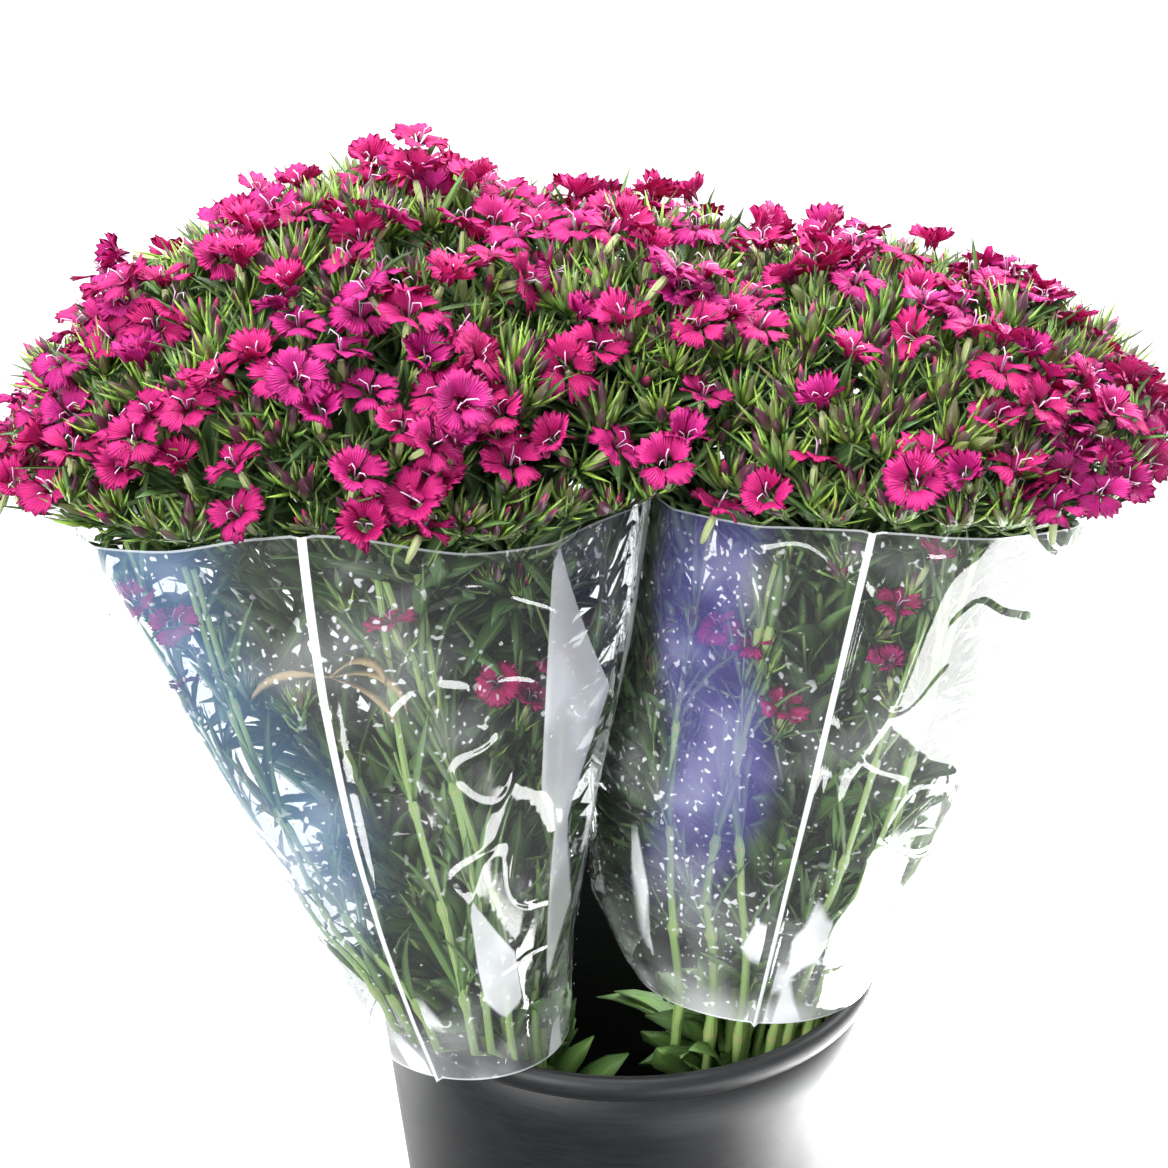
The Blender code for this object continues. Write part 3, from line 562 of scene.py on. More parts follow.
def stem_finish(settings):
    """A pale green stem, mottled, and lighter at its joints."""
    made = Finish("stem")
    tone = made.mix(made.noise(70.0, 1.0), settings.stem_colour, settings.leaf_colour)
    streaks = made.ribs(22.0)
    tone = made.mix(streaks * 0.22, tone, settings.calyx_colour)
    joint = made.given("draw").between(0.80, 0.98)
    tone = made.mix(joint * 0.6, tone, (0.50, 0.46, 0.20))
    return made.done(made.principled(Base_Color=tone, Roughness=0.42, Normal=made.bump(streaks, 0.0002)))


def dried_finish():
    made = Finish("dried_leaf")
    tone = made.mix(made.noise(120.0), (0.66, 0.50, 0.24), (0.38, 0.25, 0.10))
    normal = made.bump(made.noise(400.0), 0.0004)
    return made.done(made.principled(Base_Color=tone, Roughness=0.7, Normal=normal))


def film_finish(settings):
    """Clear film: see-through face on, shining at a slant, with a painted white highlight at the welds and
    edges, a painted white reflection on some facets, and painted glints of mist.
    """
    made = Finish("film")
    clear = made.node("ShaderNodeBsdfTransparent", None, {"Color": colour(settings.film_colour)})
    tint = made.given("tint")
    ink = made.mix(tint.between(-0.01, 0.0), settings.tint_violet, settings.tint_colour)
    inked = made.principled(Base_Color=ink, Roughness=0.4)
    cloud = made.noise(18.0, 2.0)
    seen_through = made.mixed(abs(tint) * (0.18 + cloud.between(0.3, 0.7) * 0.22), clear, inked)
    damp = cloud.between(0.42, 0.56)
    # Painted glints: tiny white dots where the film is damp.
    mist_glints = made.noise(300.0, 0.0).between(0.68, 0.76) * 0.6
    foot = made.given("foot") * cloud.between(0.36, 0.62) * 0.46
    veil = settings.haze + cloud.between(0.46, 0.74) * 0.17 + foot
    # Painted reflection: some facets are painted white.
    white = made.given("white").between(0.48, 0.52) * (0.62 + cloud.between(0.35, 0.65) * 0.36)
    # Painted highlight: a white line along the welds, and a fainter one round the top and bottom edges.
    weld = made.given("weld").between(0.56, 0.64) * 0.92
    edge = made.given("edge").between(0.72, 0.84) * 0.45
    # What turns the film white: its own haze, and the painted glints, reflection and highlights.
    cover = veil + mist_glints * damp + white + weld + edge
    face = made.principled(Base_Color=(0.94, 0.97, 0.98), Roughness=0.32)
    body = made.mixed(cover, seen_through, face)
    ridges = abs(made.noise(26.0, 0.0) - 0.5)
    normal = made.bump(ridges.between(0.0, 0.06), 0.0012, 0.28)
    gloss = {"Color": (1.0, 1.0, 1.0, 1.0), "Roughness": 0.05, "Normal": normal}
    shine = made.node("ShaderNodeBsdfGlossy", None, gloss)
    facing = made.node("ShaderNodeLayerWeight", None, {"Blend": 0.5}, output=1)
    return made.done(made.mixed(0.05 + facing**4.0 * 0.85, body, shine))


def droplet_finish():
    """A bead that is mostly seen through, with a sharp shine."""
    made = Finish("droplet")
    return made.done(made.principled(Base_Color=(1.0, 1.0, 1.0), Roughness=0.02, IOR=1.33, Alpha=0.22))


def bucket_finish(settings):
    """Charcoal moulded plastic: a fine grain, faint rub marks and a soft shine."""
    made = Finish("bucket_plastic")
    drawn_out = made.node("ShaderNodeMapping", None, {"Vector": made.place(), "Scale": (6.0, 6.0, 60.0)})
    rub = made.node("ShaderNodeTexNoise", None, {"Vector": drawn_out, "Scale": 9.0, "Detail": 6.0})
    tone = made.mix(rub.between(0.35, 0.75) * 0.5, settings.bucket_colour, settings.bucket_worn)
    tone = made.mix(made.noise(30.0).between(0.55, 0.8) * 0.3, tone, settings.bucket_worn)
    rough = 0.34 + made.noise(45.0, 6.0) * 0.16 + rub * 0.06
    normal = made.bump(made.noise(1500.0, 2.0), 0.00012, 0.5)
    plastic = made.principled(Base_Color=tone, Roughness=rough, Specular_IOR_Level=0.32, Normal=normal)
    return made.done(plastic)


def water_finish():
    made = Finish("water")
    normal = made.bump(made.noise(35.0), 0.0006, 0.3)
    tone = (0.80, 0.90, 0.84)
    return made.done(
        made.principled(Base_Color=tone, Roughness=0.03, IOR=1.33, Transmission_Weight=1.0, Normal=normal)
    )


def backdrop_finish():
    """Pale paper, which glows behind the bucket and darkens in front of it."""
    made = Finish("backdrop")
    parts = made.node("ShaderNodeSeparateXYZ", None, {"Vector": made.place()}, output=1)
    tone = made.mix(parts.between(-0.45, 0.0), (0.10, 0.10, 0.11), (0.0, 0.0, 0.0))
    paper = made.mix(made.noise(3.0, 0.0), (0.97, 0.97, 0.97), (1.0, 1.0, 1.0))
    glow = made.mix(parts.between(-0.25, 0.15), (0.0, 0.0, 0.0), paper)
    matt = {"Roughness": 0.9, "Specular_IOR_Level": 0.0}
    return made.done(made.principled(Base_Color=tone, Emission_Color=glow, Emission_Strength=1.62, **matt))


# The canopy's plan


def dome_surface(dome, share, azimuth):
    """A point of a dome, and the way that it faces there."""
    height = dome.high - dome.low
    up = math.sqrt(max(0.0, 1.0 - share * share))
    offset = level(azimuth)
    point = np.array((*dome.centre, dome.low + height * up)) + offset * dome.radius * share
    return point, unit(offset * (share / dome.radius) + UP * (up / height))


def within_dome(dome, point):
    aside = math.hypot(point[0] - dome.centre[0], point[1] - dome.centre[1]) / dome.radius
    above = (point[2] - dome.low) / (dome.high - dome.low)
    return aside * aside + above * above < 1.0


@functools.lru_cache(maxsize=None)
def canopy_surface():
    """Points spread evenly over the domes where none lies inside another, with normals."""
    points, normals = [], []
    for dome in DOMES:
        others = [other for other in DOMES if other is not dome]
        count = round(SURFACE_POINTS * (dome.radius / DOMES[0].radius) ** 2)
        for k in range(count):
            up = 1.0 - (k + 0.5) / count
            azimuth = k * math.pi * (3.0 - math.sqrt(5.0))
            point, normal = dome_surface(dome, math.sqrt(1.0 - up * up), azimuth)
            if point[2] < SURFACE_FLOOR or any(within_dome(other, point) for other in others):
                continue
            points.append(point)
            normals.append(normal)
    return np.array(points), np.array(normals)


def nearest(points, places):
    """For each point, which place is nearest to it, and how far."""
    apart = np.linalg.norm(points[:, None, :] - places[None, :, :], axis=2)
    return apart.argmin(axis=1), apart.min(axis=1)


def spread(points, count, rounds, rng):
    """The numbers of points that lie about evenly apart."""
    places = points[rng.choice(len(points), count, replace=False)]
    for _ in range(rounds):
        patch, _ = nearest(points, places)
        sums = np.zeros_like(places)
        np.add.at(sums, patch, points)
        filled = np.bincount(patch, minlength=count)
        kept = filled > 0
        places[kept] = sums[kept] / filled[kept, None]
    return np.unique(nearest(places, points)[0])


def node_heads():
    """(bunch, stem, middle of the head's flowers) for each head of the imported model."""
    heads = []
    for bunch, stem, name in all_stems():
        for letter in "ab":
            node = f"flowers_{name}_{letter}"
            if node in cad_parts:
                low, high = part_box(node)
                heads.append((bunch, stem, np.array((low + high) / 2.0)))
    return heads


def shoulder_drop(point):
    """How far the canopy sinks behind its far left shoulder."""
    return 0.042 * float(smooth(0.14, 0.26, -point[0]) * smooth(-0.06, 0.06, point[1]))


@functools.lru_cache(maxsize=None)
def canopy_sites():
    """Every place of the canopy that bears an open flower or a tuft of buds."""
    settings = bpy.context.scene.dianthus_flowers
    rng = np.random.default_rng(SEED)
    points, normals = canopy_surface()
    chosen = spread(points, settings.flowers + settings.tufts, 6, rng)
    patches = points[spread(points, PATCHES, 2, rng)]
    near = np.array([np.linalg.norm(patches - points[k], axis=1).min() for k in chosen])
    order = np.argsort(near / PATCH_SIZE + rng.uniform(0.0, 1.3, len(chosen)))
    open_ones = set(chosen[order[: settings.flowers]])
    sites = []
    for k in chosen:
        make = flower_site if k in open_ones else tuft_site
        sites.append(make(points[k], normals[k], rng))
    return sites + under_film_sites(rng)


def canopy_site(point, normal, kind, lean, stands, sizes, rng):
    """A site of the canopy: how much it may lean, stand off the surface, and grow or shrink."""
    lean = min(abs(rng.normal(0.0, lean)), 1.1)
    facing = tilted(unit(normal * 0.62 + UP * 0.78), lean, rng.uniform(0.0, 2.0 * math.pi))
    place = point + normal * rng.uniform(*stands) - UP * shoulder_drop(point)
    place[0] = np.clip(place[0], *CANOPY_ENDS)
    doubled = kind == "flower" and rng.uniform() < DOUBLED_SHARE
    beside = second_flower(place, facing, rng) if doubled else None
    return Site(place, facing, kind, rng.uniform(*sizes), beside)


def flower_site(point, normal, rng):
    return canopy_site(point, normal, "flower", 0.44, (-0.005, 0.007), (0.90, 1.10), rng)


def tuft_site(point, normal, rng):
    return canopy_site(point, normal, "tuft", 0.16, (-0.010, 0.001), (0.90, 1.32), rng)


def second_flower(place, facing, rng):
    """The place and the facing of a second flower, which overlaps the first."""
    across = square_to(facing, any_turn(rng))
    beside = place + across * rng.uniform(0.013, 0.019) + facing * rng.uniform(-0.003, 0.006)
    beside[0] = np.clip(beside[0], *CANOPY_ENDS)
    return beside, unit(facing + across * rng.uniform(0.2, 0.7))


def under_film_sites(rng):
    """A few open flowers and tufts that stand lower, against the inside of the film."""
    sites = []
    for bunch in BUNCHES:
        for k in range(UNDER_FILM_SITES):
            front = k < UNDER_FILM_FRONT
            turn = -math.pi / 2 + rng.uniform(-1.7, 1.7) if front else rng.uniform(0.5, 2.6)
            share = rng.uniform(0.66, 0.98)
            centre, radii = film_ring(bunch.sleeve, turn, share)
            outward = level(turn)
            place = np.array(centre) + outward * (np.array((*radii, 0.0)) - 0.014)
            facing = tilted(unit(outward * 0.5 + UP), rng.uniform(0.0, 0.8), any_turn(rng))
            kind = "tuft" if k % 2 else "flower"
            sites.append(Site(place, facing, kind, rng.uniform(0.75, 0.95), None))
    return sites


@functools.lru_cache(maxsize=None)
def hubs():
    """Where the stems' tips branch, each with its own sites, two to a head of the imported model."""
    heads = node_heads()
    sites = canopy_sites()
    places = np.array([site.place for site in sites])
    owner, _ = nearest(places, np.array([head[2] for head in heads]))
    surface, normals = canopy_surface()
    rng = np.random.default_rng(SEED + 1)
    made = []
    for k, (bunch, stem, _) in enumerate(heads):
        own = np.flatnonzero(owner == k)
        for group in halves(places[own], rng):
            members = own[group]
            if not len(members):
                continue
            middle = places[members].mean(axis=0)
            normal = normals[nearest(middle[None], surface)[0][0]]
            facing = unit(normal + UP * 0.5)
            own_sites = [sites[m] for m in members]
            made.append(Hub(bunch, stem, middle - facing * HUB_DEPTH, facing, own_sites))
    return made


def own_hubs(bunch, stem):
    return [hub for hub in hubs() if hub.bunch is bunch and hub.stem == stem]


def halves(places, rng):
    """Splits places into two groups that lie together."""
    if len(places) < 4:
        return [np.arange(len(places))]
    ends = places[rng.choice(len(places), 2, replace=False)]
    for _ in range(8):
        side, _ = nearest(places, ends)
        if side.min() == side.max():
            break
        ends = np.array([places[side == s].mean(axis=0) for s in (0, 1)])
    return [np.flatnonzero(side == s) for s in (0, 1)]


# Film

FILM_TURNS, FILM_LEVELS = 184, 62
WET_PATCHES = 26
FIN_HEIGHT = 0.0040
RUFFLE_HEIGHT = 0.0013

# How long the facets are for their width, how high they stand between the places that the film
# touches, how far it is drawn in at those, and how sharply the facets with a painted white reflection end.
FACET_SQUASH = 0.42
FACET_RISE = 0.68
FACET_LIMIT = 0.0046
FACET_DEPTH = 0.0016
FACET_EDGE = 900.0
FACETS_ALL_OVER, FACETS_AT_FOOT = 80, 44


def wrapped(angle):
    """The angle between minus and plus half a turn."""
    return (angle + math.pi) % (2.0 * math.pi) - math.pi


def film_ring(sleeve, turn, share):
    """A sleeve's centre, and its two radii at a turn, at a share of its height."""
    swell = 4.0 * share * (1.0 - share) * sleeve.bulge
    swell = swell + np.interp(share, PRESS_SHARES, sleeve.press) * pressed_side(sleeve, turn)
    radii = [low + (high - low) * share + swell for low, high in zip(sleeve.low_radii, sleeve.high_radii)]
    centre = [low + (high - low) * share for low, high in zip(sleeve.low, sleeve.high)]
    return centre, radii


def pressed_side(sleeve, turn):
    """1 where the sleeve meets the other one, falling to 0 away from there."""
    return np.exp(-((wrapped(turn - math.radians(sleeve.press_deg)) / PRESS_WIDTH) ** 2))


def film_point(sleeve, turn, share, reach=1.0):
    """A point of the film, or part of the way out to it."""
    (x, y, z), radii = film_ring(sleeve, turn, share)
    return np.array((x + math.cos(turn) * radii[0] * reach, y + math.sin(turn) * radii[1] * reach, z))


def crease_at(sleeve, share):
    low, high = sleeve.crease_degs
    return np.radians(low + (high - low) * share)


def edge_rise(sleeve, turn):
    """How far the top edge climbs towards the front crease."""
    return sleeve.crease_rise * np.exp(-((wrapped(turn - crease_at(sleeve, 1.0)) / 0.42) ** 2))


def wall_radius(height):
    """The bucket's inner radius at a height."""
    share = np.clip((height - 0.006) / (BUCKET_HEIGHT - RIM_DROP - 0.006), 0.0, 1.0)
    return BASE_RADIUS + (NECK_RADIUS - BASE_RADIUS) * share - BUCKET_WALL


def held_in(bunch):
    """A rule that keeps points inside the bunch's sleeve, and below it inside the bucket."""
    sleeve = bunch.sleeve
    unpressed = sleeve._replace(press=(0.0,) * len(PRESS_SHARES))

    def shift(points):
        share = (points[:, 2] - sleeve.low[2]) / (sleeve.high[2] - sleeve.low[2])
        held = np.clip(share, 0.0, 1.0)
        middle = np.column_stack(film_ring(sleeve, 0.0, held)[0][:2])
        aside = points[:, :2] - middle
        turn = np.arctan2(aside[:, 1], aside[:, 0])
        radii = film_ring(sleeve, turn, held)[1]
        round_radii = film_ring(unpressed, turn, held)[1]
        radial = np.hypot(aside[:, 0] / round_radii[0], aside[:, 1] / round_radii[1])
        above = points[:, 2] - sleeve.high[2] - edge_rise(sleeve, turn)
        room = LOOSE_ROOM + PRESSED_ROOM * pressed_side(sleeve, turn)
        squeezed = LOOSE_SHARE + room * (1.0 - np.exp((LOOSE_SHARE - radial) / 0.16))
        pressed = np.where(radial > LOOSE_SHARE, squeezed, radial)
        free = np.maximum(np.minimum(radial, 0.98 + np.maximum(above, 0.0) * 14.0), pressed)
        kept = np.where(above < 0.0, pressed, free)
        kept = np.where(share < -0.02, radial, kept)
        scale = np.where(share < 1.0, radii[0] / round_radii[0], 1.0) * kept / np.maximum(radial, 1e-6)
        moved = points.copy()
        moved[:, :2] = middle + aside * scale[:, None]
        return within_wall(moved)

    return shift


def within_wall(points):
    """The points, those in the bucket drawn in until they clear its wall."""
    radius = np.hypot(points[:, 0], points[:, 1])
    room = np.where(points[:, 2] < BUCKET_HEIGHT + 0.003, wall_radius(points[:, 2]) - 0.003, np.inf)
    points[:, :2] *= np.minimum(1.0, room / np.maximum(radius, 1e-6))[:, None]
    return points


def facet_seeds(rng):
    """Where the film touches what it holds, as (turn, share), and which facets get a painted white
    reflection.

    They lie all over it, and closer together at its foot.
    """
    count, low = FACETS_ALL_OVER, FACETS_AT_FOOT
    turn = np.concatenate((rng.uniform(-math.pi, math.pi, count), rng.uniform(-3.0, 0.4, low)))
    share = np.concatenate((rng.uniform(0.0, 1.0, count), rng.uniform(0.0, 0.30, low)))
    # Painted reflection: the facets that carry it lie mostly on one side of the front and at the foot.
    side = np.exp(-((wrapped(turn + 0.55) / 0.34) ** 2)) * (share > 0.3)
    foot = smooth(-0.30, -0.22, -share) * smooth(-0.02, 0.04, share)
    painted_glare = rng.uniform(0.0, 1.0, count + low) < 0.015 + 0.50 * side + 0.24 * foot
    return turn, share, painted_glare


def facets(sleeve, seeds, turn, share):
    """How far the film stands out, flat between the places that it touches, and where its facets carry a
    painted white reflection.
    """
    height = sleeve.high[2] - sleeve.low[2]
    radius = sum(film_ring(sleeve, turn, share)[1]) / 2.0
    nearest_dull = np.full(turn.shape, 1.0)
    nearest_white = np.full(turn.shape, 1.0)
    for seed_turn, seed_share, white in zip(*seeds):
        across = wrapped(turn - seed_turn) * radius
        rise = (share - seed_share) * height * FACET_SQUASH
        square = across * across + rise * rise
        if white:
            nearest_white = np.minimum(nearest_white, square)
        else:
            nearest_dull = np.minimum(nearest_dull, square)
    stand = np.minimum(np.minimum(nearest_white, nearest_dull) / radius * FACET_RISE, FACET_LIMIT)
    return stand - FACET_DEPTH, np.clip(0.5 + (nearest_dull - nearest_white) * FACET_EDGE, 0.0, 1.0)


def sleeve_film(bunch, finish, rng):
    """One sleeve: a fine open tube with facets, folds and a welded fin at its front and back."""
    sleeve = bunch.sleeve
    shares = np.linspace(0.0, 1.0, FILM_LEVELS)
    turns = np.arange(FILM_TURNS) * 2.0 * math.pi / FILM_TURNS
    share, turn = np.meshgrid(shares, turns, indexing="ij")
    from_front = np.abs(wrapped(turn))
    apart = np.minimum(from_front, math.pi - from_front)
    weld = apart < 0.5 * math.pi / FILM_TURNS
    turn = turn + crease_at(sleeve, share)
    centre, radii = film_ring(sleeve, turn, share)
    stand, white = facets(sleeve, facet_seeds(rng), turn, share)
    stand = stand * smooth(0.0, 0.05, share) + FIN_HEIGHT * weld
    stand = stand + RUFFLE_HEIGHT * np.sin(turn * 8.0 + share * 3.0) * smooth(0.7, 1.0, share)
    points = np.stack(
        (
            centre[0] + np.cos(turn) * (radii[0] + stand),
            centre[1] + np.sin(turn) * (radii[1] + stand),
            centre[2] + edge_rise(sleeve, turn) * share**3,
        ),
        axis=-1,
    ).reshape(-1, 3)
    mesh = bpy.data.meshes.new(f"film_{bunch.side}")
    mesh.from_pydata(points, [], film_faces())
    mesh.shade_smooth()
    # Marks for the painted highlight along the welds and the top and bottom edges.
    write_layer(mesh, "weld", weld)
    write_layer(mesh, "edge", (share > 0.999) | (share < 0.001))
    # Marks for the facets with a painted reflection, kept off the welds.
    write_layer(mesh, "white", white * (apart > 0.04))
    write_layer(mesh, "tint", tint_share(bunch, turn, share))
    write_layer(mesh, "foot", 1.0 - smooth(0.0, 0.22, share))
    mesh.materials.append(finish)
    return linked(f"film_{bunch.side}", mesh)


def film_faces():
    """The faces of the film, an open tube of rings."""
    k = np.arange(FILM_TURNS)
    after = (k + 1) % FILM_TURNS
    low = (np.arange(FILM_LEVELS - 1) * FILM_TURNS)[:, None]
    high = low + FILM_TURNS
    return np.stack((low + k, low + after, high + after, high + k), axis=-1).reshape(-1, 4).tolist()


def tint_share(bunch, turn, share):
    """A plain soft-edged band of tint down one side, below zero where it is the violet one."""
    middle, half, sign = (-2.32, 0.72, 1.0) if bunch.side == "left" else (-2.30, 0.34, -1.0)
    band = 1.0 - smooth(half * 0.5, half, np.abs(wrapped(turn - middle) + 0.12 * np.sin(share * 9.0)))
    return band * smooth(0.16, 0.50, share) * sign


def droplets(bunch, settings, rng):
    """Beads of water on the film, in loose patches."""
    sleeve = bunch.sleeve
    bead = Growth()
    bead.add(turned_shape([(1.0, 0.0), (0.55, 0.78)], 6), 0, 0.0)
    bead = bead.packed()
    made = Growth()
    turns = rng.uniform(-math.pi, math.pi, WET_PATCHES)
    patches = np.column_stack((turns, rng.uniform(0.1, 0.95, WET_PATCHES)))
    for _ in range(settings.droplets):
        turn, share = patches[rng.integers(0, WET_PATCHES)] + rng.normal(0.0, (0.34, 0.10))
        if not 0.03 < share < 0.985:
            continue
        radii = film_ring(sleeve, turn, share)[1]
        outward = unit((math.cos(turn) / radii[0], math.sin(turn) / radii[1], -2.5))
        place = film_point(sleeve, turn, share) + outward * 0.0012
        rotation = basis(outward, rng.uniform(0.0, 6.0))
        made.put(bead, rotation, place, 0.0005 + 0.0008 * rng.uniform() ** 2.0)
    return made


# Greenery

STEM_SIDES = 7
LOWEST_LEAF = 0.21
LEAF_THICKNESS = 0.0005
HUB_LEAVES = 17
CROSS_LEAVES = 16

# How far from the middle a head still sends leaves over to the other bunch.
MIDDLE_HALF = 0.075

# Half-widths along a leaf, as shares of its length and of its widest.
LEAF_OUTLINE = ((0.0, 0.12, 0.36, 0.62, 0.84, 1.0), (0.34, 0.55, 1.0, 0.82, 0.42, 0.04))
BROAD_OUTLINE = ((0.0, 0.15, 0.45, 0.72, 0.90, 1.0), (0.25, 0.60, 1.0, 0.88, 0.48, 0.06))

# The sorts of leaf. Each gives the ranges that its sizes, angles and shade are drawn from, the
# spread of its twist, how many rows of faces it has, and its outline. A shade drawn high paints
# the leaf dark: painted shade, for the leaves deep in the bunch and between the sleeves.
Sort = namedtuple("Sort", "length half lean curl twist shade rows outline", defaults=(7, LEAF_OUTLINE))
BROAD_LEAF = Sort(
    (0.050, 0.082), (0.0070, 0.0105), (0.25, 0.75), (0.1, 1.4), 0.6, (0.0, 0.7), outline=BROAD_OUTLINE
)
STEM_LEAF = BROAD_LEAF._replace(half=(0.0042, 0.0066), outline=LEAF_OUTLINE)
# Drawn dark as painted shade, between the two sleeves.
INNER_LEAF = Sort((0.050, 0.085), (0.0070, 0.0110), (0.3, 0.9), (0.0, 0.8), 0.7, (0.70, 0.92), 5)
FRONT_LEAF = Sort((0.040, 0.070), (0.0026, 0.0044), (0.2, 0.5), (0.1, 0.9), 0.0, (0.0, 0.5))
SHOOT_LEAF = Sort((0.024, 0.040), (0.0019, 0.0030), (0.25, 0.6), (0.0, 0.7), 0.0, (0.0, 0.8), 4)
TUFT_LEAF = Sort((0.018, 0.032), (0.0012, 0.0018), (0.5, 0.9), (-0.3, 0.7), 0.0, (0.2, 0.9), 5)
SITE_LEAF = Sort((0.022, 0.038), (0.0016, 0.0028), (0.4, 0.9), (-0.2, 0.8), 0.0, (0.2, 0.9), 5)
# Drawn dark as painted shade, under the flowers.
HUB_LEAF = Sort((0.042, 0.070), (0.0044, 0.0066), (0.5, 1.15), (-0.2, 0.7), 0.4, (0.72, 0.92), 5)
# Drawn dark as painted shade, in the gap between the bunches.
CROSS_LEAF = Sort((0.060, 0.090), (0.0050, 0.0075), (1.0, 1.7), (0.2, 1.1), 0.0, (0.7, 0.92))
DRIED_SIZES = ((0.030, 0.050), (0.0022, 0.0036))


def add_leaf(made, place, along, outward, sort, rng, size=1.0):
    """One leaf of a sort, its measures drawn from the sort's ranges."""
    length, half = rng.uniform(*sort.length) * size, rng.uniform(*sort.half)
    lean, curl = rng.uniform(*sort.lean), rng.uniform(*sort.curl)
    twist = rng.normal(0.0, sort.twist) if sort.twist else 0.0
    blade = leaf_blade(place, along, outward, (length, half), lean, curl, twist, sort.outline, sort.rows)
    made.add(blade, LEAF, rng.uniform(*sort.shade))


def leaf_blade(root, along, outward, sizes, lean, curl, twist, outline, rows):
    """A keeled blade that leaves its root at a lean and curls along its length."""
    length, half_width = sizes
    along = unit(along)
    outward = unit(outward - along * (np.asarray(outward) @ along))
    share = np.linspace(0.0, 1.0, rows)
    angle = lean + curl * share**1.3
    forward = np.outer(np.cos(angle), along) + np.outer(np.sin(angle), outward)
    upper = np.outer(np.sin(angle), along) - np.outer(np.cos(angle), outward)
    middle = root + np.vstack((np.zeros(3), np.cumsum(forward[:-1], axis=0))) * length / (rows - 1)
    flat = np.cross(along, outward)
    spin = (twist * share)[:, None]
    across = np.cos(spin) * flat + upper * np.sin(spin)
    over = upper * np.cos(spin) - np.sin(spin) * flat
    width = half_width * np.interp(share, *outline)
    column = np.linspace(-1.0, 1.0, 3)
    aside = across[:, None] * (width[:, None] * column)[..., None]
    keel = over[:, None] * (0.34 * width[:, None] * np.abs(column))[..., None]
    top = middle[:, None] + aside + keel
    weave = blade_weave(rows, 3)
    below = (top - over[:, None] * LEAF_THICKNESS)[weave.inner]
    return np.concatenate((top.reshape(-1, 3), below)), weave


@functools.lru_cache(maxsize=None)
def bud_shape(number):
    """A bud with its bracts, standing along +Z from its base."""
    rng = np.random.default_rng((SEED, 17, number))
    made = Growth()
    length = rng.uniform(0.0135, 0.0180)
    wide = rng.uniform(0.0023, 0.0030)
    profile = [(wide * 0.5, 0.0), (wide, length * 0.28), (wide * 0.90, length * 0.60), (wide * 0.08, length)]
    made.add(turned_shape(profile, 6), BUD, rng.uniform())
    for k in range(4):
        out = level(k * math.pi / 2 + rng.uniform(-0.4, 0.4))
        made.add(bract(out, wide, length, rng), BRACT, rng.uniform())
    return made.packed()


def bract(out, wide, length, rng):
    """A needle in two reaches, the second bent away from the first."""
    half = rng.uniform(0.75, 1.30) * length * 0.5
    lean = rng.uniform(0.12, 0.75)
    bend = lean * rng.uniform(0.4, 1.1)
    middle = out * (wide * 1.05 + half * math.sin(lean)) + UP * half * math.cos(lean)
    tip = middle + (out * math.sin(bend) + UP * math.cos(bend)) * half
    return sweep([out * wide * 0.7, middle, tip], (0.0010, 0.00085, 0.00010), 3)


def any_bud(rng):
    return bud_shape(int(rng.integers(0, BUD_SHAPES)))


@functools.lru_cache(maxsize=None)
def tuft_shape(number):
    """A tuft of buds on short stalks, spreading from one base below the canopy's surface."""
    rng = np.random.default_rng((SEED, 19, number))
    made = Growth()
    count = int(rng.integers(4, 8))
    for k in range(count):
        turn = k * SPIRAL + rng.uniform(-0.4, 0.4)
        lean = 0.12 + 0.62 * math.sqrt(k / count) + rng.uniform(-0.06, 0.06)
        start = tilted(UP, lean, turn) * rng.uniform(0.002, 0.009)
        upright = tilted(UP, lean * 0.8, turn)
        rotation = basis(upright, any_turn(rng))
        made.put(any_bud(rng), rotation, start, rng.uniform(0.80, 1.12), rng.uniform())
    for k in range(4):
        outward = level(k * math.pi / 2 + rng.uniform(-0.5, 0.5))
        add_leaf(made, np.zeros(3), UP, outward, TUFT_LEAF, rng)
    return made.packed()


def bowed(start, start_way, end, end_way, count):
    """Points of a curve that leaves one place and reaches another, each in a given direction."""
    reach = np.linalg.norm(end - start) / 3.0
    controls = (start, start + unit(start_way) * reach, end - unit(end_way) * reach, end)
    share = np.linspace(0.0, 1.0, count)[:, None]
    weights = ((1 - share) ** 3, 3 * share * (1 - share) ** 2, 3 * share**2 * (1 - share), share**3)
    return sum(weight * control for weight, control in zip(weights, controls))


def through(points, count):
    """Points of a smooth curve through a few points."""
    points = np.asarray(points, float)
    padded = np.vstack((2 * points[0] - points[1], points, 2 * points[-1] - points[-2]))
    share = np.linspace(0.0, len(points) - 1 - 1e-9, count)
    part = share.astype(int)
    t = (share - part)[:, None]
    a, b, c, d = (padded[part + k] for k in range(4))
    return 0.5 * (2 * b + (c - a) * t + (2 * a - 5 * b + 4 * c - d) * t**2 + (3 * b - a - 3 * c + d) * t**3)


def stem_paths(bunch, stem, own, rng):
    """A path for each hub: the first from the stem's foot, the others from its low joint."""
    middle = np.mean([hub.place for hub in own], axis=0)
    pattern = np.array((*(middle[:2] - bunch.dome.centre), 0.0)) / (bunch.dome.radius - HEAD_DEPTH)
    foot = np.array((*bunch.foot, STEM_FOOT)) + pattern * 0.034
    neck = np.array((*bunch.neck, BUCKET_HEIGHT)) + pattern * bunch.neck_radius
    joint = foot + (neck - foot) * 0.40
    paths = []
    for number, hub in enumerate(own):
        own_neck = neck + level(number * SPIRAL + stem) * (0.013 if number else 0.0)
        own_neck[:2] *= min(1.0, NECK_LIMIT / math.hypot(*own_neck[:2]))
        before = hub.place - unit(hub.facing + UP * 0.8) * 0.085
        before[:2] += (own_neck[:2] - before[:2]) * 0.12
        wander = np.array((*rng.normal(0.0, 0.006, 2), 0.0))
        route = [joint if number else foot, own_neck, (own_neck + before) / 2.0 + wander, before, hub.place]
        paths.append(through(route, 30))
    return paths


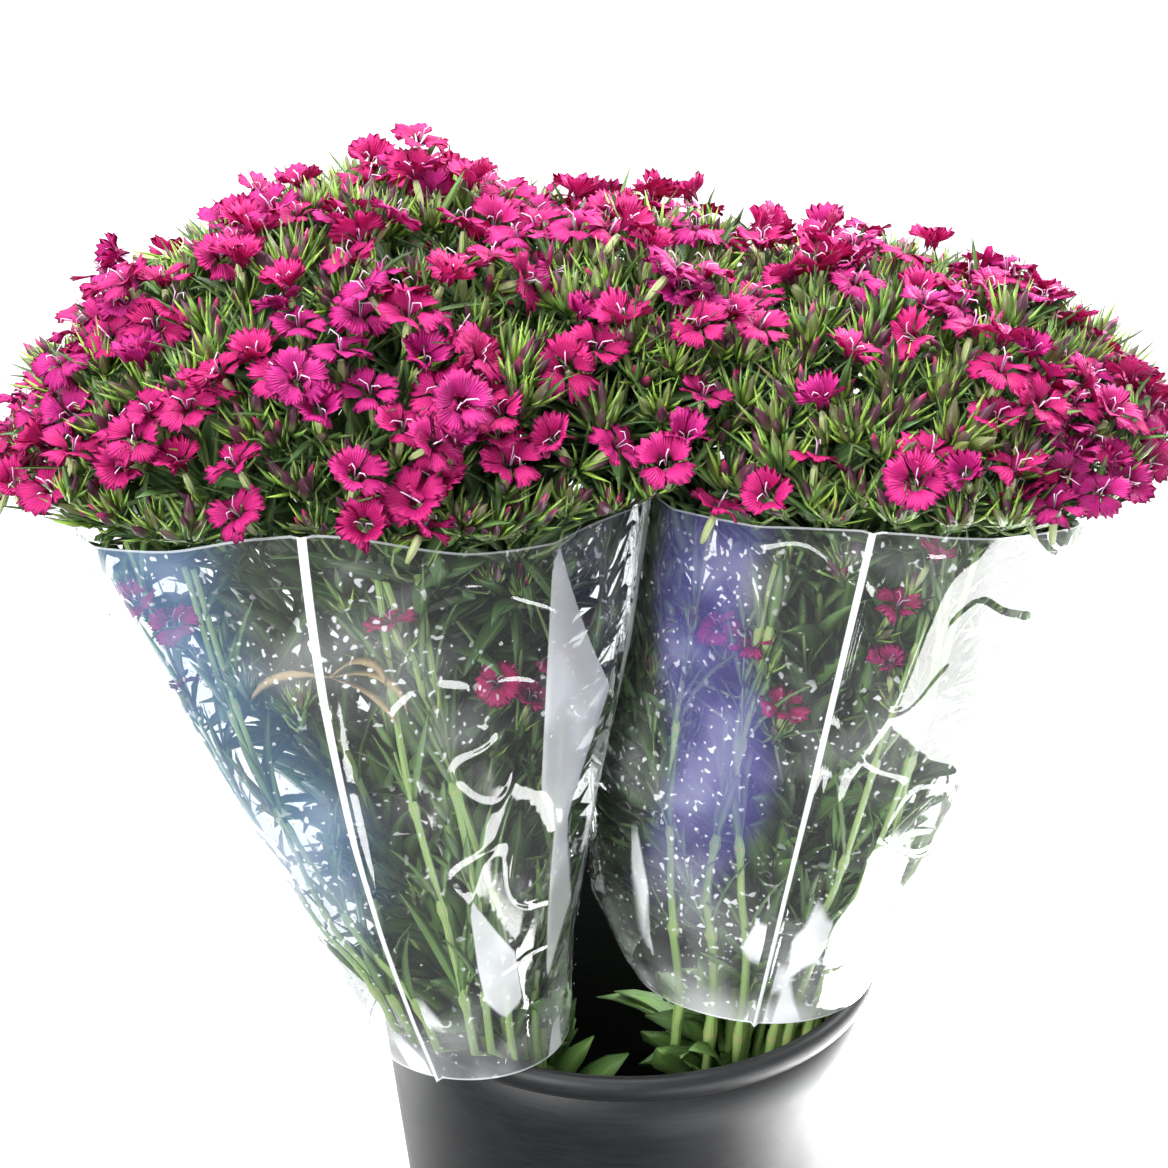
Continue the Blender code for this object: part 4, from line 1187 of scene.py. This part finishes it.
def joint_numbers(path):
    """Which of the path's points carry a joint."""
    lengths = np.concatenate(([0.0], np.cumsum(np.linalg.norm(np.diff(path, axis=0), axis=1))))
    joints = []
    for reach in np.arange(0.055, lengths[-1] - 0.02, 0.058):
        k = int(np.argmin(abs(lengths - reach)))
        if 1 < k < len(path) - 2 and (not joints or k - joints[-1] > 1):
            joints.append(k)
    return joints


def turn_to(along, way):
    """The turn round a stem at which a leaf points that way."""
    rotation = basis(along)
    return math.atan2(way @ rotation[:, 1], way @ rotation[:, 0])


def jointed_stem(made, path, thick, thin, swelling, plain, rng):
    """A tapered stem with swollen joints. Gives its joints, and a turn for the first leaf pair."""
    joints = joint_numbers(path)
    radii = np.linspace(thick, thin, len(path))
    radii[joints] *= swelling
    draws = np.where(np.isin(np.arange(len(path)), joints), 1.0, plain)
    made.add(sweep(path, radii, STEM_SIDES), STEM, np.repeat(draws, STEM_SIDES))
    return joints, rng.uniform(0.0, math.pi)


def grow_stem(made, bunch, path, rng):
    """One stem with swollen joints, leaf pairs at them, and leafy side shoots."""
    sleeve = bunch.sleeve
    inner = 1.0 if bunch.side == "left" else -1.0
    joints, turn = jointed_stem(made, path, 0.0025, 0.0017, 1.4, 0.2, rng)
    for k in range(2, len(path) - 2):
        place = path[k]
        if place[2] < LOWEST_LEAF:
            continue
        along = unit(path[k + 1] - path[k - 1])
        share = (place[2] - sleeve.low[2]) / (sleeve.high[2] - sleeve.low[2])
        axis = film_ring(sleeve, 0.0, float(np.clip(share, 0.0, 1.0)))[0]
        outer = turn_to(along, np.array((place[0] - axis[0], place[1] - axis[1], 0.0)))
        if k not in joints:
            if 0.0 < share < 1.05:
                outward = square_to(along, outer + rng.normal(0.0, 0.9))
                sort = BROAD_LEAF if rng.uniform() < 0.4 else STEM_LEAF
                add_leaf(made, place, along, outward, sort, rng)
                fill_inner_side(made, place, along, (place[0] - axis[0]) * inner, inner, rng)
            continue
        turn += math.pi / 2 + rng.uniform(-0.3, 0.3)
        sort = BROAD_LEAF if place[2] < 0.42 else STEM_LEAF
        for side in (0.0, math.pi):
            add_leaf(made, place, along, square_to(along, turn + side), sort, rng)
        if place[2] > 0.31 and rng.uniform() < 0.9:
            shoot(made, place, tilted(along, rng.uniform(0.35, 0.85), outer + rng.normal(0.0, 1.0)), rng)


def fill_inner_side(made, place, along, aside, inner, rng):
    """Leaves towards the other bunch, where the two sleeves press together, drawn dark as painted shade."""
    if aside < -0.006:
        return
    for _ in range(3):
        turn = turn_to(along, np.array((inner, rng.normal(0.0, 0.8), 0.0)))
        add_leaf(made, place, along, square_to(along, turn), INNER_LEAF, rng)


@functools.lru_cache(maxsize=None)
def front_paths(bunch):
    """Long bare stems that stand against the film, all round its front."""
    rng = np.random.default_rng((SEED, 5))
    paths = []
    for turn in np.linspace(-2.55, -0.65, 7) + rng.normal(0.0, 0.08, 7):
        route = [np.array((*bunch.foot, STEM_FOOT)) + 0.028 * level(turn)]
        for share, reach in ((0.0, 0.80), (0.30, 0.92), (0.62, 0.93), (0.96, 0.84)):
            route.append(film_point(bunch.sleeve, turn, share, reach))
            turn += rng.normal(0.0, 0.10)
        paths.append(through(route, 58))
    return paths


def grow_front_stem(made, path, rng):
    """A stem against the film: swollen joints with narrow leaf pairs, and little else."""
    joints, turn = jointed_stem(made, path, 0.0024, 0.0018, 1.55, 0.1, rng)
    for k in joints:
        if path[k][2] < 0.30:
            continue
        turn += math.pi / 2 + rng.uniform(-0.3, 0.3)
        along = unit(path[k + 1] - path[k - 1])
        for side in (0.0, math.pi):
            add_leaf(made, path[k], along, square_to(along, turn + side), FRONT_LEAF, rng)
        if rng.uniform() < 0.6:
            shoot(made, path[k], tilted(along, rng.uniform(0.25, 0.5), any_turn(rng)), rng)


def dried_leaves(made, bunch, rng):
    """A few dead leaves, curled up against the film."""
    place = film_point(bunch.sleeve, -1.60, 0.80, 0.93)
    ways = ((1.0, 0.0, 0.35), (-1.0, 0.1, 0.2), (0.6, 0.1, 0.7), (0.9, 0.0, -0.2))
    for way, curl in zip(ways, (1.9, 1.2, 2.6, 0.9)):
        sizes = [rng.uniform(*size) for size in DRIED_SIZES]
        blade = leaf_blade(place, way, (0.0, -0.3, -1.0), sizes, 0.1, curl, 1.6, LEAF_OUTLINE, 9)
        made.add(blade, DRIED, rng.uniform())


def shoot(made, place, way, rng):
    """A short side shoot with pairs of narrow leaves, and buds at its tip on some."""
    tip = place + unit(way + UP * 0.25) * rng.uniform(0.030, 0.062)
    path = bowed(place, way, tip, way + UP * 0.6, 5)
    made.add(sweep(path, np.linspace(0.0011, 0.0007, 5), 4), STEM, 0.4)
    for k, size in ((1, 0.9), (2, 1.0), (4, 0.8)):
        along = unit(path[min(k + 1, 4)] - path[k - 1])
        turn = k * math.pi / 2 + rng.uniform(-0.4, 0.4)
        for side in (0.0, math.pi):
            add_leaf(made, path[k], along, square_to(along, turn + side), SHOOT_LEAF, rng, size)
    if rng.uniform() < 0.45:
        rotation = basis(path[-1] - path[-2])
        made.put(any_bud(rng), rotation, path[-1], rng.uniform(0.8, 1.0), rng.uniform())


def grow_site(made, hub, site, rng):
    """The branchlet to one site with its narrow leaves, and a tuft or a few side buds."""
    base = site.place - site.facing * (0.0185 if site.kind == "flower" else 0.016)
    path = bowed(hub.place, hub.facing + unit(base - hub.place), base, site.facing, 6)
    made.add(sweep(path, np.linspace(0.0012, 0.0008, 6), 4), STEM, rng.uniform(0.2, 0.7))
    if site.kind == "tuft":
        rotation = basis(site.facing, any_turn(rng))
        shape = tuft_shape(int(rng.integers(0, TUFT_SHAPES)))
        made.put(shape, rotation, base, site.size, rng.uniform())
    else:
        for _ in range(int(rng.integers(1, 4))):
            way = tilted(site.facing, rng.uniform(0.25, 0.65), any_turn(rng))
            start = base - site.facing * rng.uniform(0.0, 0.006)
            made.put(any_bud(rng), basis(way, any_turn(rng)), start, rng.uniform(0.8, 1.1), rng.uniform())
    for _ in range(2):
        start = base - site.facing * rng.uniform(0.0, 0.010)
        add_leaf(made, start, site.facing, square_to(site.facing, any_turn(rng)), SITE_LEAF, rng)


def grow_head(made, hub, rng):
    """All that stands on one hub, over a ring of wide-spread leaves that close the view below. Those leaves,
    and the ones that heads near the middle send over to the other bunch, are drawn dark as painted shade.
    """
    for site in hub.sites:
        grow_site(made, hub, site, rng)
    for k in range(HUB_LEAVES):
        outward = square_to(hub.facing, k * SPIRAL + rng.uniform(-0.4, 0.4))
        start = hub.place + hub.facing * (0.018 - 0.004 * k)
        add_leaf(made, start, hub.facing, outward, HUB_LEAF, rng)
    if abs(hub.place[0]) > MIDDLE_HALF:
        return
    for _ in range(CROSS_LEAVES):
        outward = unit((*rng.normal(0.0, 1.0, 2), 0.0) - np.array((hub.place[0] * 12.0, 0.0, 0.0)))
        start = hub.place - UP * rng.uniform(0.0, 0.03)
        add_leaf(made, start, UP, outward, CROSS_LEAF, rng)


# Flowers

PETAL_REACH = 0.0144
PETAL_THICKNESS = 0.00022
PETAL_COLUMNS = 11
THROAT_RADIUS = 0.0010

# How far the petals of unlike flowers stand up, from flat to half shut.
CUPS = (0.10, 0.28, -0.12, 0.16, 0.46, 0.04, 0.95)


def petal(rng, scale):
    """A petal along +Y from the throat: a claw, then a fan with a toothed edge."""
    rows = np.array((0.0, 0.28, 0.70, 1.0))
    weave = blade_weave(len(rows), PETAL_COLUMNS)
    side, reach = np.meshgrid(np.linspace(-1.0, 1.0, PETAL_COLUMNS), rows)
    half_angle = np.interp(reach, (0.0, 0.22, 0.55, 1.0), np.radians((22.0, 25.0, 40.0, 38.0)))
    straight = THROAT_RADIUS + (PETAL_REACH * scale - THROAT_RADIUS) * reach
    radius = straight * (1.0 - 0.12 * np.abs(side) ** 2.4 * reach)
    tooth_or_notch = np.where(np.arange(PETAL_COLUMNS) % 2 == 1, 1.0, -1.0)
    teeth = tooth_or_notch * rng.uniform(0.03, 0.10, PETAL_COLUMNS)
    radius[-1] *= 1.0 + teeth
    radius[-2] *= 1.0 + teeth * 0.10
    angle = side * half_angle
    funnel = -0.0042 * (1.0 - smooth(0.0, 0.32, reach))
    wave = 0.0015 * reach**2 * np.sin(side * rng.uniform(2.6, 5.2) + rng.uniform(0.0, 6.28))
    fold = 0.0016 * np.abs(side) ** 1.5 * reach * rng.uniform(-0.8, 1.0)
    droop = -0.0030 * smooth(0.5, 1.1, reach) * rng.uniform(-0.6, 1.4)
    pinwheel = radius * np.sin(angle) * rng.normal(0.13, 0.08)
    height = funnel + wave + fold + droop + pinwheel
    top = np.stack((radius * np.sin(angle), radius * np.cos(angle), height), axis=-1)
    below = (top - (0.0, 0.0, PETAL_THICKNESS))[weave.inner]
    return np.concatenate((top.reshape(-1, 3), below)), weave


def pitched(points, pitch):
    """Points turned up round +X."""
    cos, sin = math.cos(pitch), math.sin(pitch)
    y, z = points[:, 1].copy(), points[:, 2].copy()
    points[:, 1], points[:, 2] = y * cos - z * sin, y * sin + z * cos
    return points


def curled_style(out, rng):
    """A pale thread that rises from the throat and curls over."""
    high = rng.uniform(0.0045, 0.0080)
    bend = rng.uniform(0.0030, 0.0055)
    path = [
        out * 0.0003 - UP * 0.002,
        out * 0.0012 + UP * high * 0.75,
        out * bend + UP * high * 1.02,
        out * (bend + 0.0014) + UP * high * rng.uniform(0.6, 0.9),
    ]
    return sweep(path, (0.00034, 0.00036, 0.00032, 0.00014), 3)


@functools.lru_cache(maxsize=None)
def flower_shape(number):
    """An open flower facing +Z, with its styles and the calyx tube that it stands in."""
    rng = np.random.default_rng((SEED, 29, number))
    made = Growth()
    cup = CUPS[number % len(CUPS)]
    draw = rng.uniform(0.0, 0.5) if number % 4 else rng.uniform(0.6, 1.0)
    for k in range(5):
        points, weave = petal(rng, rng.uniform(0.92, 1.06))
        points = pitched(points, cup + rng.normal(0.0, 0.17))
        points = points @ basis(UP, k * 2.0 * math.pi / 5 + rng.normal(0.0, 0.07)).T
        made.add((points, weave), PETAL, draw + rng.uniform(-0.06, 0.06))
    for side in (0.0, rng.uniform(1.9, 3.6)):
        made.add(curled_style(level(side), rng), STYLE, 0.0)
    tube = [(0.0010, -0.0190), (0.0019, -0.0140), (0.0020, -0.0085), (0.0015, -0.0050)]
    made.add(turned_shape(tube, 6), CALYX, rng.uniform())
    return made.packed()


def add_flowers(made, site, rng):
    """A site's open flower, and the one beside it where it has one."""
    turn = any_turn(rng)
    for place, facing in filter(None, ((site.place, site.facing), site.beside)):
        shape = flower_shape(int(rng.integers(0, FLOWER_SHAPES)))
        made.put(shape, basis(facing, turn), place, site.size, rng.uniform(-0.1, 0.1))


# Settings


def colour_setting(name, description, value):
    return FloatVectorProperty(
        name=name, description=description, default=value, size=3, subtype="COLOR", min=0, max=1
    )


def number_setting(kind, name, description, value, **limits):
    return kind(name=name, description=description, default=value, min=limits.pop("min", 0), **limits)


class DianthusFlowerSettings(PropertyGroup):
    """Sizes and colours of the open flowers and buds."""

    flowers: number_setting(IntProperty, "Open flowers", "Sites of open flowers", 335, min=20, max=500)
    tufts: number_setting(IntProperty, "Tufts of buds", "Sites of tufts of buds", 255, min=20, max=400)
    petal_colour: colour_setting("Petal", "Most petals", (0.600, 0.014, 0.168))
    petal_violet: colour_setting("Petal, violet", "The more violet petals", (0.500, 0.016, 0.240))
    # The paler edge of a petal with its painted sheen; the same colour makes its random paler patches.
    petal_pale_and_sheen: colour_setting("Petal edge", "The paler edge of a petal", (0.820, 0.060, 0.310))
    # Darker towards the throat, and the painted shade in the creases.
    petal_dark_and_shade: colour_setting("Petal throat", "The throat and the creases", (0.250, 0.001, 0.050))
    petal_glow: colour_setting("Petal glow", "Light that comes through a petal", (0.700, 0.008, 0.130))
    style_colour: colour_setting("Style", "The two threads at the middle", (0.86, 0.76, 0.86))
    calyx_colour: colour_setting("Calyx", "The tube under a flower", (0.46, 0.52, 0.24))
    tip_colour: colour_setting("Bud tip", "The dark tips of buds and bracts", (0.085, 0.020, 0.045))
    bud_colour: colour_setting("Bud", "The lower part of a bud", (0.240, 0.380, 0.070))
    bract_colour: colour_setting("Bract", "The bright bracts round the buds", (0.370, 0.580, 0.080))
    leaf_colour: colour_setting("Leaf", "Most leaves", (0.215, 0.410, 0.095))
    # Dark green for veins and bud ribs, and the painted shade of the leaves deep in the bunch.
    leaf_dark_and_shade: colour_setting("Leaf, dark", "The darkest leaves", (0.035, 0.090, 0.025))
    leaf_bloom: colour_setting("Leaf bloom", "The blue-grey bloom on a leaf", (0.230, 0.380, 0.200))
    leaf_glow: colour_setting("Leaf glow", "Light that comes through a leaf", (0.30, 0.50, 0.06))
    stem_colour: colour_setting("Stem", "The stems", (0.400, 0.540, 0.190))


class DianthusFilmSettings(PropertyGroup):
    """The clear sleeves and the beads of water on them."""

    film_colour: colour_setting("Film", "What the film lets through", (0.955, 0.972, 0.975))
    tint_colour: colour_setting("Tint", "The left sleeve's plain tint", (0.14, 0.32, 0.66))
    tint_violet: colour_setting("Tint, violet", "The right sleeve's plain tint", (0.13, 0.10, 0.62))
    haze: number_setting(FloatProperty, "Haze", "How milky the film is", 0.035, max=1, subtype="FACTOR")
    droplets: number_setting(IntProperty, "Beads", "Beads of water tried on each sleeve", 600, max=3000)


class DianthusBucketSettings(PropertyGroup):
    """The bucket's colours."""

    bucket_colour: colour_setting("Bucket", "The moulded plastic", (0.012, 0.013, 0.014))
    bucket_worn: colour_setting("Bucket, rubbed", "Where the plastic is rubbed", (0.026, 0.028, 0.030))


class DianthusStageSettings(PropertyGroup):
    """The camera and the lights."""

    lens: number_setting(FloatProperty, "Lens", "Focal length in millimetres", 52.4, min=20, max=200)
    pitch: number_setting(FloatProperty, "Pitch", "Looking down by", math.radians(19.7), subtype="ANGLE")
    camera: FloatVectorProperty(
        name="Camera",
        description="Where the camera stands",
        default=(-0.022, -0.86, 0.82),
        size=3,
        subtype="TRANSLATION",
        unit="LENGTH",
    )
    sky: number_setting(FloatProperty, "Sky", "Strength of the even light", 0.80, max=10)
    key: number_setting(FloatProperty, "Key light", "The light behind on the right", 70.0, unit="POWER")
    top: number_setting(FloatProperty, "Top light", "The light overhead", 60.0, unit="POWER")
    fill: number_setting(FloatProperty, "Front light", "The light in front", 50.0, unit="POWER")
    panels: number_setting(FloatProperty, "Panels", "Radiance of the panels that reflections show", 14.0)


# Floor panels as (name, x, y, size, share): each brightens one stretch of film or of the bucket.
PANELS = (
    ("front_panel", 0.42, -0.80, (0.40, 0.40), 1.0),
    ("right_panel", 0.875, -0.075, (0.55, 1.35), 1.0),
    ("near_panel", 0.40, 0.15, (0.22, 0.90), 1.3),
    ("left_panel", -0.74, 0.38, (0.60, 0.70), 0.6),
)


# Operators


def aimed_light(name, place, target, size, power):
    light = bpy.data.lights.new(name, "AREA")
    light.shape = "RECTANGLE"
    light.size, light.size_y = size
    light.energy = power
    made = linked(name, light)
    made.location = place
    way = np.array(target) - np.array(place)
    made.rotation_euler = Vector(way).to_track_quat("-Z", "Y").to_euler()
    return made


def stand_camera(settings):
    camera = bpy.data.cameras.new("camera")
    camera.lens, camera.sensor_width = settings.lens, 36.0
    camera.clip_start, camera.clip_end = 0.01, 50.0
    made = linked("camera", camera)
    made.location = settings.camera
    made.rotation_euler = (math.pi / 2 - settings.pitch, 0.0, 0.0)
    bpy.context.scene.camera = made


def hang_backdrop():
    """A floor that sweeps up into a wall behind the bucket."""
    start, radius, half_width = 2.2, 1.6, 8.0
    profile = [(-6.0, 0.0), (start, 0.0)]
    for angle in np.linspace(0.1, math.pi / 2, 14):
        profile.append((start + math.sin(angle) * radius, radius - math.cos(angle) * radius))
    profile.append((start + radius, 6.0))
    points = [(side * half_width, y, z) for y, z in profile for side in (-1, 1)]
    faces = [(2 * k, 2 * k + 1, 2 * k + 3, 2 * k + 2) for k in range(len(profile) - 1)]
    mesh = bpy.data.meshes.new("backdrop")
    mesh.from_pydata(points, [], faces)
    mesh.shade_smooth()
    mesh.materials.append(backdrop_finish())
    linked("backdrop", mesh)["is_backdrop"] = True


def light_up(settings):
    """An even sky, three soft lights, and the panels that only reflections show."""
    world = bpy.data.worlds.new("even_light")
    world.use_nodes = True
    sky = world.node_tree.nodes["Background"]
    sky.inputs["Color"].default_value = (0.97, 0.985, 1.0, 1.0)
    sky.inputs["Strength"].default_value = settings.sky
    bpy.context.scene.world = world
    aimed_light("key_light", (1.25, 1.05, 1.55), (0.0, 0.0, 0.50), (1.3, 1.3), settings.key)
    aimed_light("top_light", (-0.15, 0.05, 2.10), (0.0, 0.0, 0.50), (1.5, 1.5), settings.top)
    aimed_light("front_light", (-1.2, -1.7, 1.15), (0.0, 0.0, 0.45), (1.2, 1.2), settings.fill)
    for name, x, y, size, share in PANELS:
        power = settings.panels * share * math.pi * size[0] * size[1]
        panel = aimed_light(name, (x, y, 0.004), (x, y, 1.0), size, power)
        panel.visible_diffuse = False


class DIANTHUS_OT_stage(Operator):
    """Camera, pale floor and backdrop, and soft light"""

    bl_idname = "dianthus.stage"
    bl_label = "Stage"

    def execute(self, context):
        settings = context.scene.dianthus_stage
        stand_camera(settings)
        hang_backdrop()
        light_up(settings)
        context.scene.view_settings.view_transform = "Standard"
        return {"FINISHED"}


def bucket_profile():
    """The bucket's section as (radius, height) pairs, up its outside and down its inside."""
    neck = BUCKET_HEIGHT - RIM_DROP
    inner = NECK_RADIUS - BUCKET_WALL
    floor = BASE_RADIUS - BUCKET_WALL
    side = np.linspace(0.1, 1.0, 10)
    widening = NECK_RADIUS - BASE_RADIUS
    return [
        (0.0005, 0.0010),
        (0.060, 0.0010),
        (BASE_RADIUS - 0.012, 0.0),
        (BASE_RADIUS - 0.004, 0.0),
        (BASE_RADIUS - 0.0012, 0.0012),
        (BASE_RADIUS, 0.004),
        *[(BASE_RADIUS + widening * s, 0.004 + (neck - 0.004) * s) for s in side],
        (NECK_RADIUS - 0.0004, neck + 0.0002),
        *[
            (RIM_RADIUS - 0.0052 + 0.0052 * math.cos(a), BUCKET_HEIGHT - 0.0068 + 0.0068 * math.sin(a))
            for a in np.linspace(-1.3, math.pi * 0.62, 14)
        ],
        (inner + 0.0014, BUCKET_HEIGHT - 0.0010),
        (inner + 0.0002, BUCKET_HEIGHT - 0.0035),
        *[(wall_radius(z), z) for z in np.linspace(neck, 0.010, 9)],
        (floor - 0.003, 0.0034),
        (floor - 0.006, 0.0024),
        (0.0005, 0.0024),
    ]


class DIANTHUS_OT_bucket(Operator):
    """The moulded bucket with its rolled lip"""

    bl_idname = "dianthus.bucket"
    bl_label = "Bucket"

    def execute(self, context):
        made = Growth()
        made.add(turned_shape(bucket_profile(), 160), 0, 0.0)
        finish = bucket_finish(context.scene.dianthus_bucket)
        settle(made.make("bucket_body", [finish]), "bucket", "bucket")
        return {"FINISHED"}


class DIANTHUS_OT_water(Operator):
    """The water in the bucket, with a rim where it meets the wall"""

    bl_idname = "dianthus.water"
    bl_label = "Water"

    def execute(self, context):
        gap = 0.0004
        foot = wall_radius(0.0)
        profile = [(0.0005, 0.0028), (foot - 0.0065, 0.0028), (foot - gap, 0.0062)]
        profile += [(wall_radius(z) - gap, z) for z in np.linspace(0.02, WATER_LEVEL, 5)]
        profile += [(wall_radius(WATER_LEVEL) - 0.0016, WATER_LEVEL - 0.0007)]
        profile += [(radius, WATER_LEVEL - 0.0010) for radius in (0.110, 0.080, 0.040, 0.0005)]
        made = Growth()
        made.add(turned_shape(profile, 96), 0, 0.0)
        settle(made.make("still_water", [water_finish()]), "water", "water")
        return {"FINISHED"}


def all_stems():
    """Each stem of both bunches, as its bunch, its number and its name."""
    for bunch in BUNCHES:
        for stem in range(1, bunch.stems + 1):
            yield bunch, stem, f"{bunch.side}_{stem:02d}"


class DIANTHUS_OT_greenery(Operator):
    """Stems, leaves, side shoots, buds and bracts, one piece to each stem"""

    bl_idname = "dianthus.greenery"
    bl_label = "Greenery"

    def execute(self, context):
        settings = context.scene.dianthus_flowers
        makers = (stem_finish, leaf_finish, bud_finish, bract_finish)
        finishes = [*[maker(settings) for maker in makers], dried_finish()]
        for bunch, stem, name in all_stems():
            rng = np.random.default_rng((SEED, len(bunch.side), stem))
            own = own_hubs(bunch, stem)
            made = Growth()
            for path, hub in zip(stem_paths(bunch, stem, own, rng), own):
                grow_stem(made, bunch, path, rng)
                grow_head(made, hub, rng)
            for path in front_paths(bunch)[stem - 1 : stem]:
                grow_front_stem(made, path, rng)
            if name == "left_01":
                dried_leaves(made, bunch, rng)
            piece = made.make(f"greenery_{name}", finishes, held_in(bunch))
            settle(piece, "greenery", f"spray_{name}")
        return {"FINISHED"}


class DIANTHUS_OT_flowers(Operator):
    """The open flowers, one piece to each stem"""

    bl_idname = "dianthus.flowers"
    bl_label = "Flowers"

    def execute(self, context):
        settings = context.scene.dianthus_flowers
        finishes = [petal_finish(settings), style_finish(settings), calyx_finish(settings)]
        for bunch, stem, name in all_stems():
            rng = np.random.default_rng((SEED, 7, len(bunch.side), stem))
            made = Growth()
            for hub in own_hubs(bunch, stem):
                for site in hub.sites:
                    if site.kind == "flower":
                        add_flowers(made, site, rng)
            nodes = [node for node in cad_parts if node.startswith(f"flowers_{name}_")]
            settle(made.make(f"blooms_{name}", finishes), "petals", *nodes)
        return {"FINISHED"}


class DIANTHUS_OT_sleeves(Operator):
    """The clear film sleeves, with their welds and folds"""

    bl_idname = "dianthus.sleeves"
    bl_label = "Sleeves"

    def execute(self, context):
        finish = film_finish(context.scene.dianthus_film)
        for bunch in BUNCHES:
            rng = np.random.default_rng((SEED, 11, len(bunch.side)))
            settle(sleeve_film(bunch, finish, rng), "film", f"sleeve_{bunch.side}")
        return {"FINISHED"}


class DIANTHUS_OT_droplets(Operator):
    """Beads of water on the film"""

    bl_idname = "dianthus.droplets"
    bl_label = "Beads of water"

    def execute(self, context):
        finish = droplet_finish()
        for bunch in BUNCHES:
            rng = np.random.default_rng((SEED, 13, len(bunch.side)))
            beads = droplets(bunch, context.scene.dianthus_film, rng)
            settle(beads.make(f"droplets_{bunch.side}", [finish]), "water")
        return {"FINISHED"}


OPERATORS = (
    DIANTHUS_OT_stage,
    DIANTHUS_OT_bucket,
    DIANTHUS_OT_water,
    DIANTHUS_OT_greenery,
    DIANTHUS_OT_flowers,
    DIANTHUS_OT_sleeves,
    DIANTHUS_OT_droplets,
)


class DIANTHUS_PT_panel(Panel):
    """Lists the pieces and their settings"""

    bl_idname = "DIANTHUS_PT_panel"
    bl_label = "Dianthus"
    bl_space_type = "VIEW_3D"
    bl_region_type = "UI"
    bl_category = "Dianthus"

    def draw(self, context):
        for group in SETTINGS:
            values = getattr(context.scene, group)
            for name in values.bl_rna.properties.keys():
                if name not in ("rna_type", "name"):
                    self.layout.prop(values, name)
        for operator in OPERATORS:
            self.layout.operator(operator.bl_idname)


SETTINGS = {
    "dianthus_flowers": DianthusFlowerSettings,
    "dianthus_film": DianthusFilmSettings,
    "dianthus_bucket": DianthusBucketSettings,
    "dianthus_stage": DianthusStageSettings,
}


def register():
    for made in (*SETTINGS.values(), *OPERATORS, DIANTHUS_PT_panel):
        bpy.utils.register_class(made)
    for name, group in SETTINGS.items():
        setattr(bpy.types.Scene, name, PointerProperty(type=group))


def unregister():
    for name in SETTINGS:
        delattr(bpy.types.Scene, name)
    for made in reversed((*SETTINGS.values(), *OPERATORS, DIANTHUS_PT_panel)):
        bpy.utils.unregister_class(made)


def main():
    register()
    for operator in OPERATORS:
        getattr(bpy.ops.dianthus, operator.bl_idname.split(".")[1])()
    sizes = {"cad": CAD_BOX, "visual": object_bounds()}
    {name: [list(corner) for corner in box] for name, box in sizes.items()}


if __name__ == "__main__":
    main()
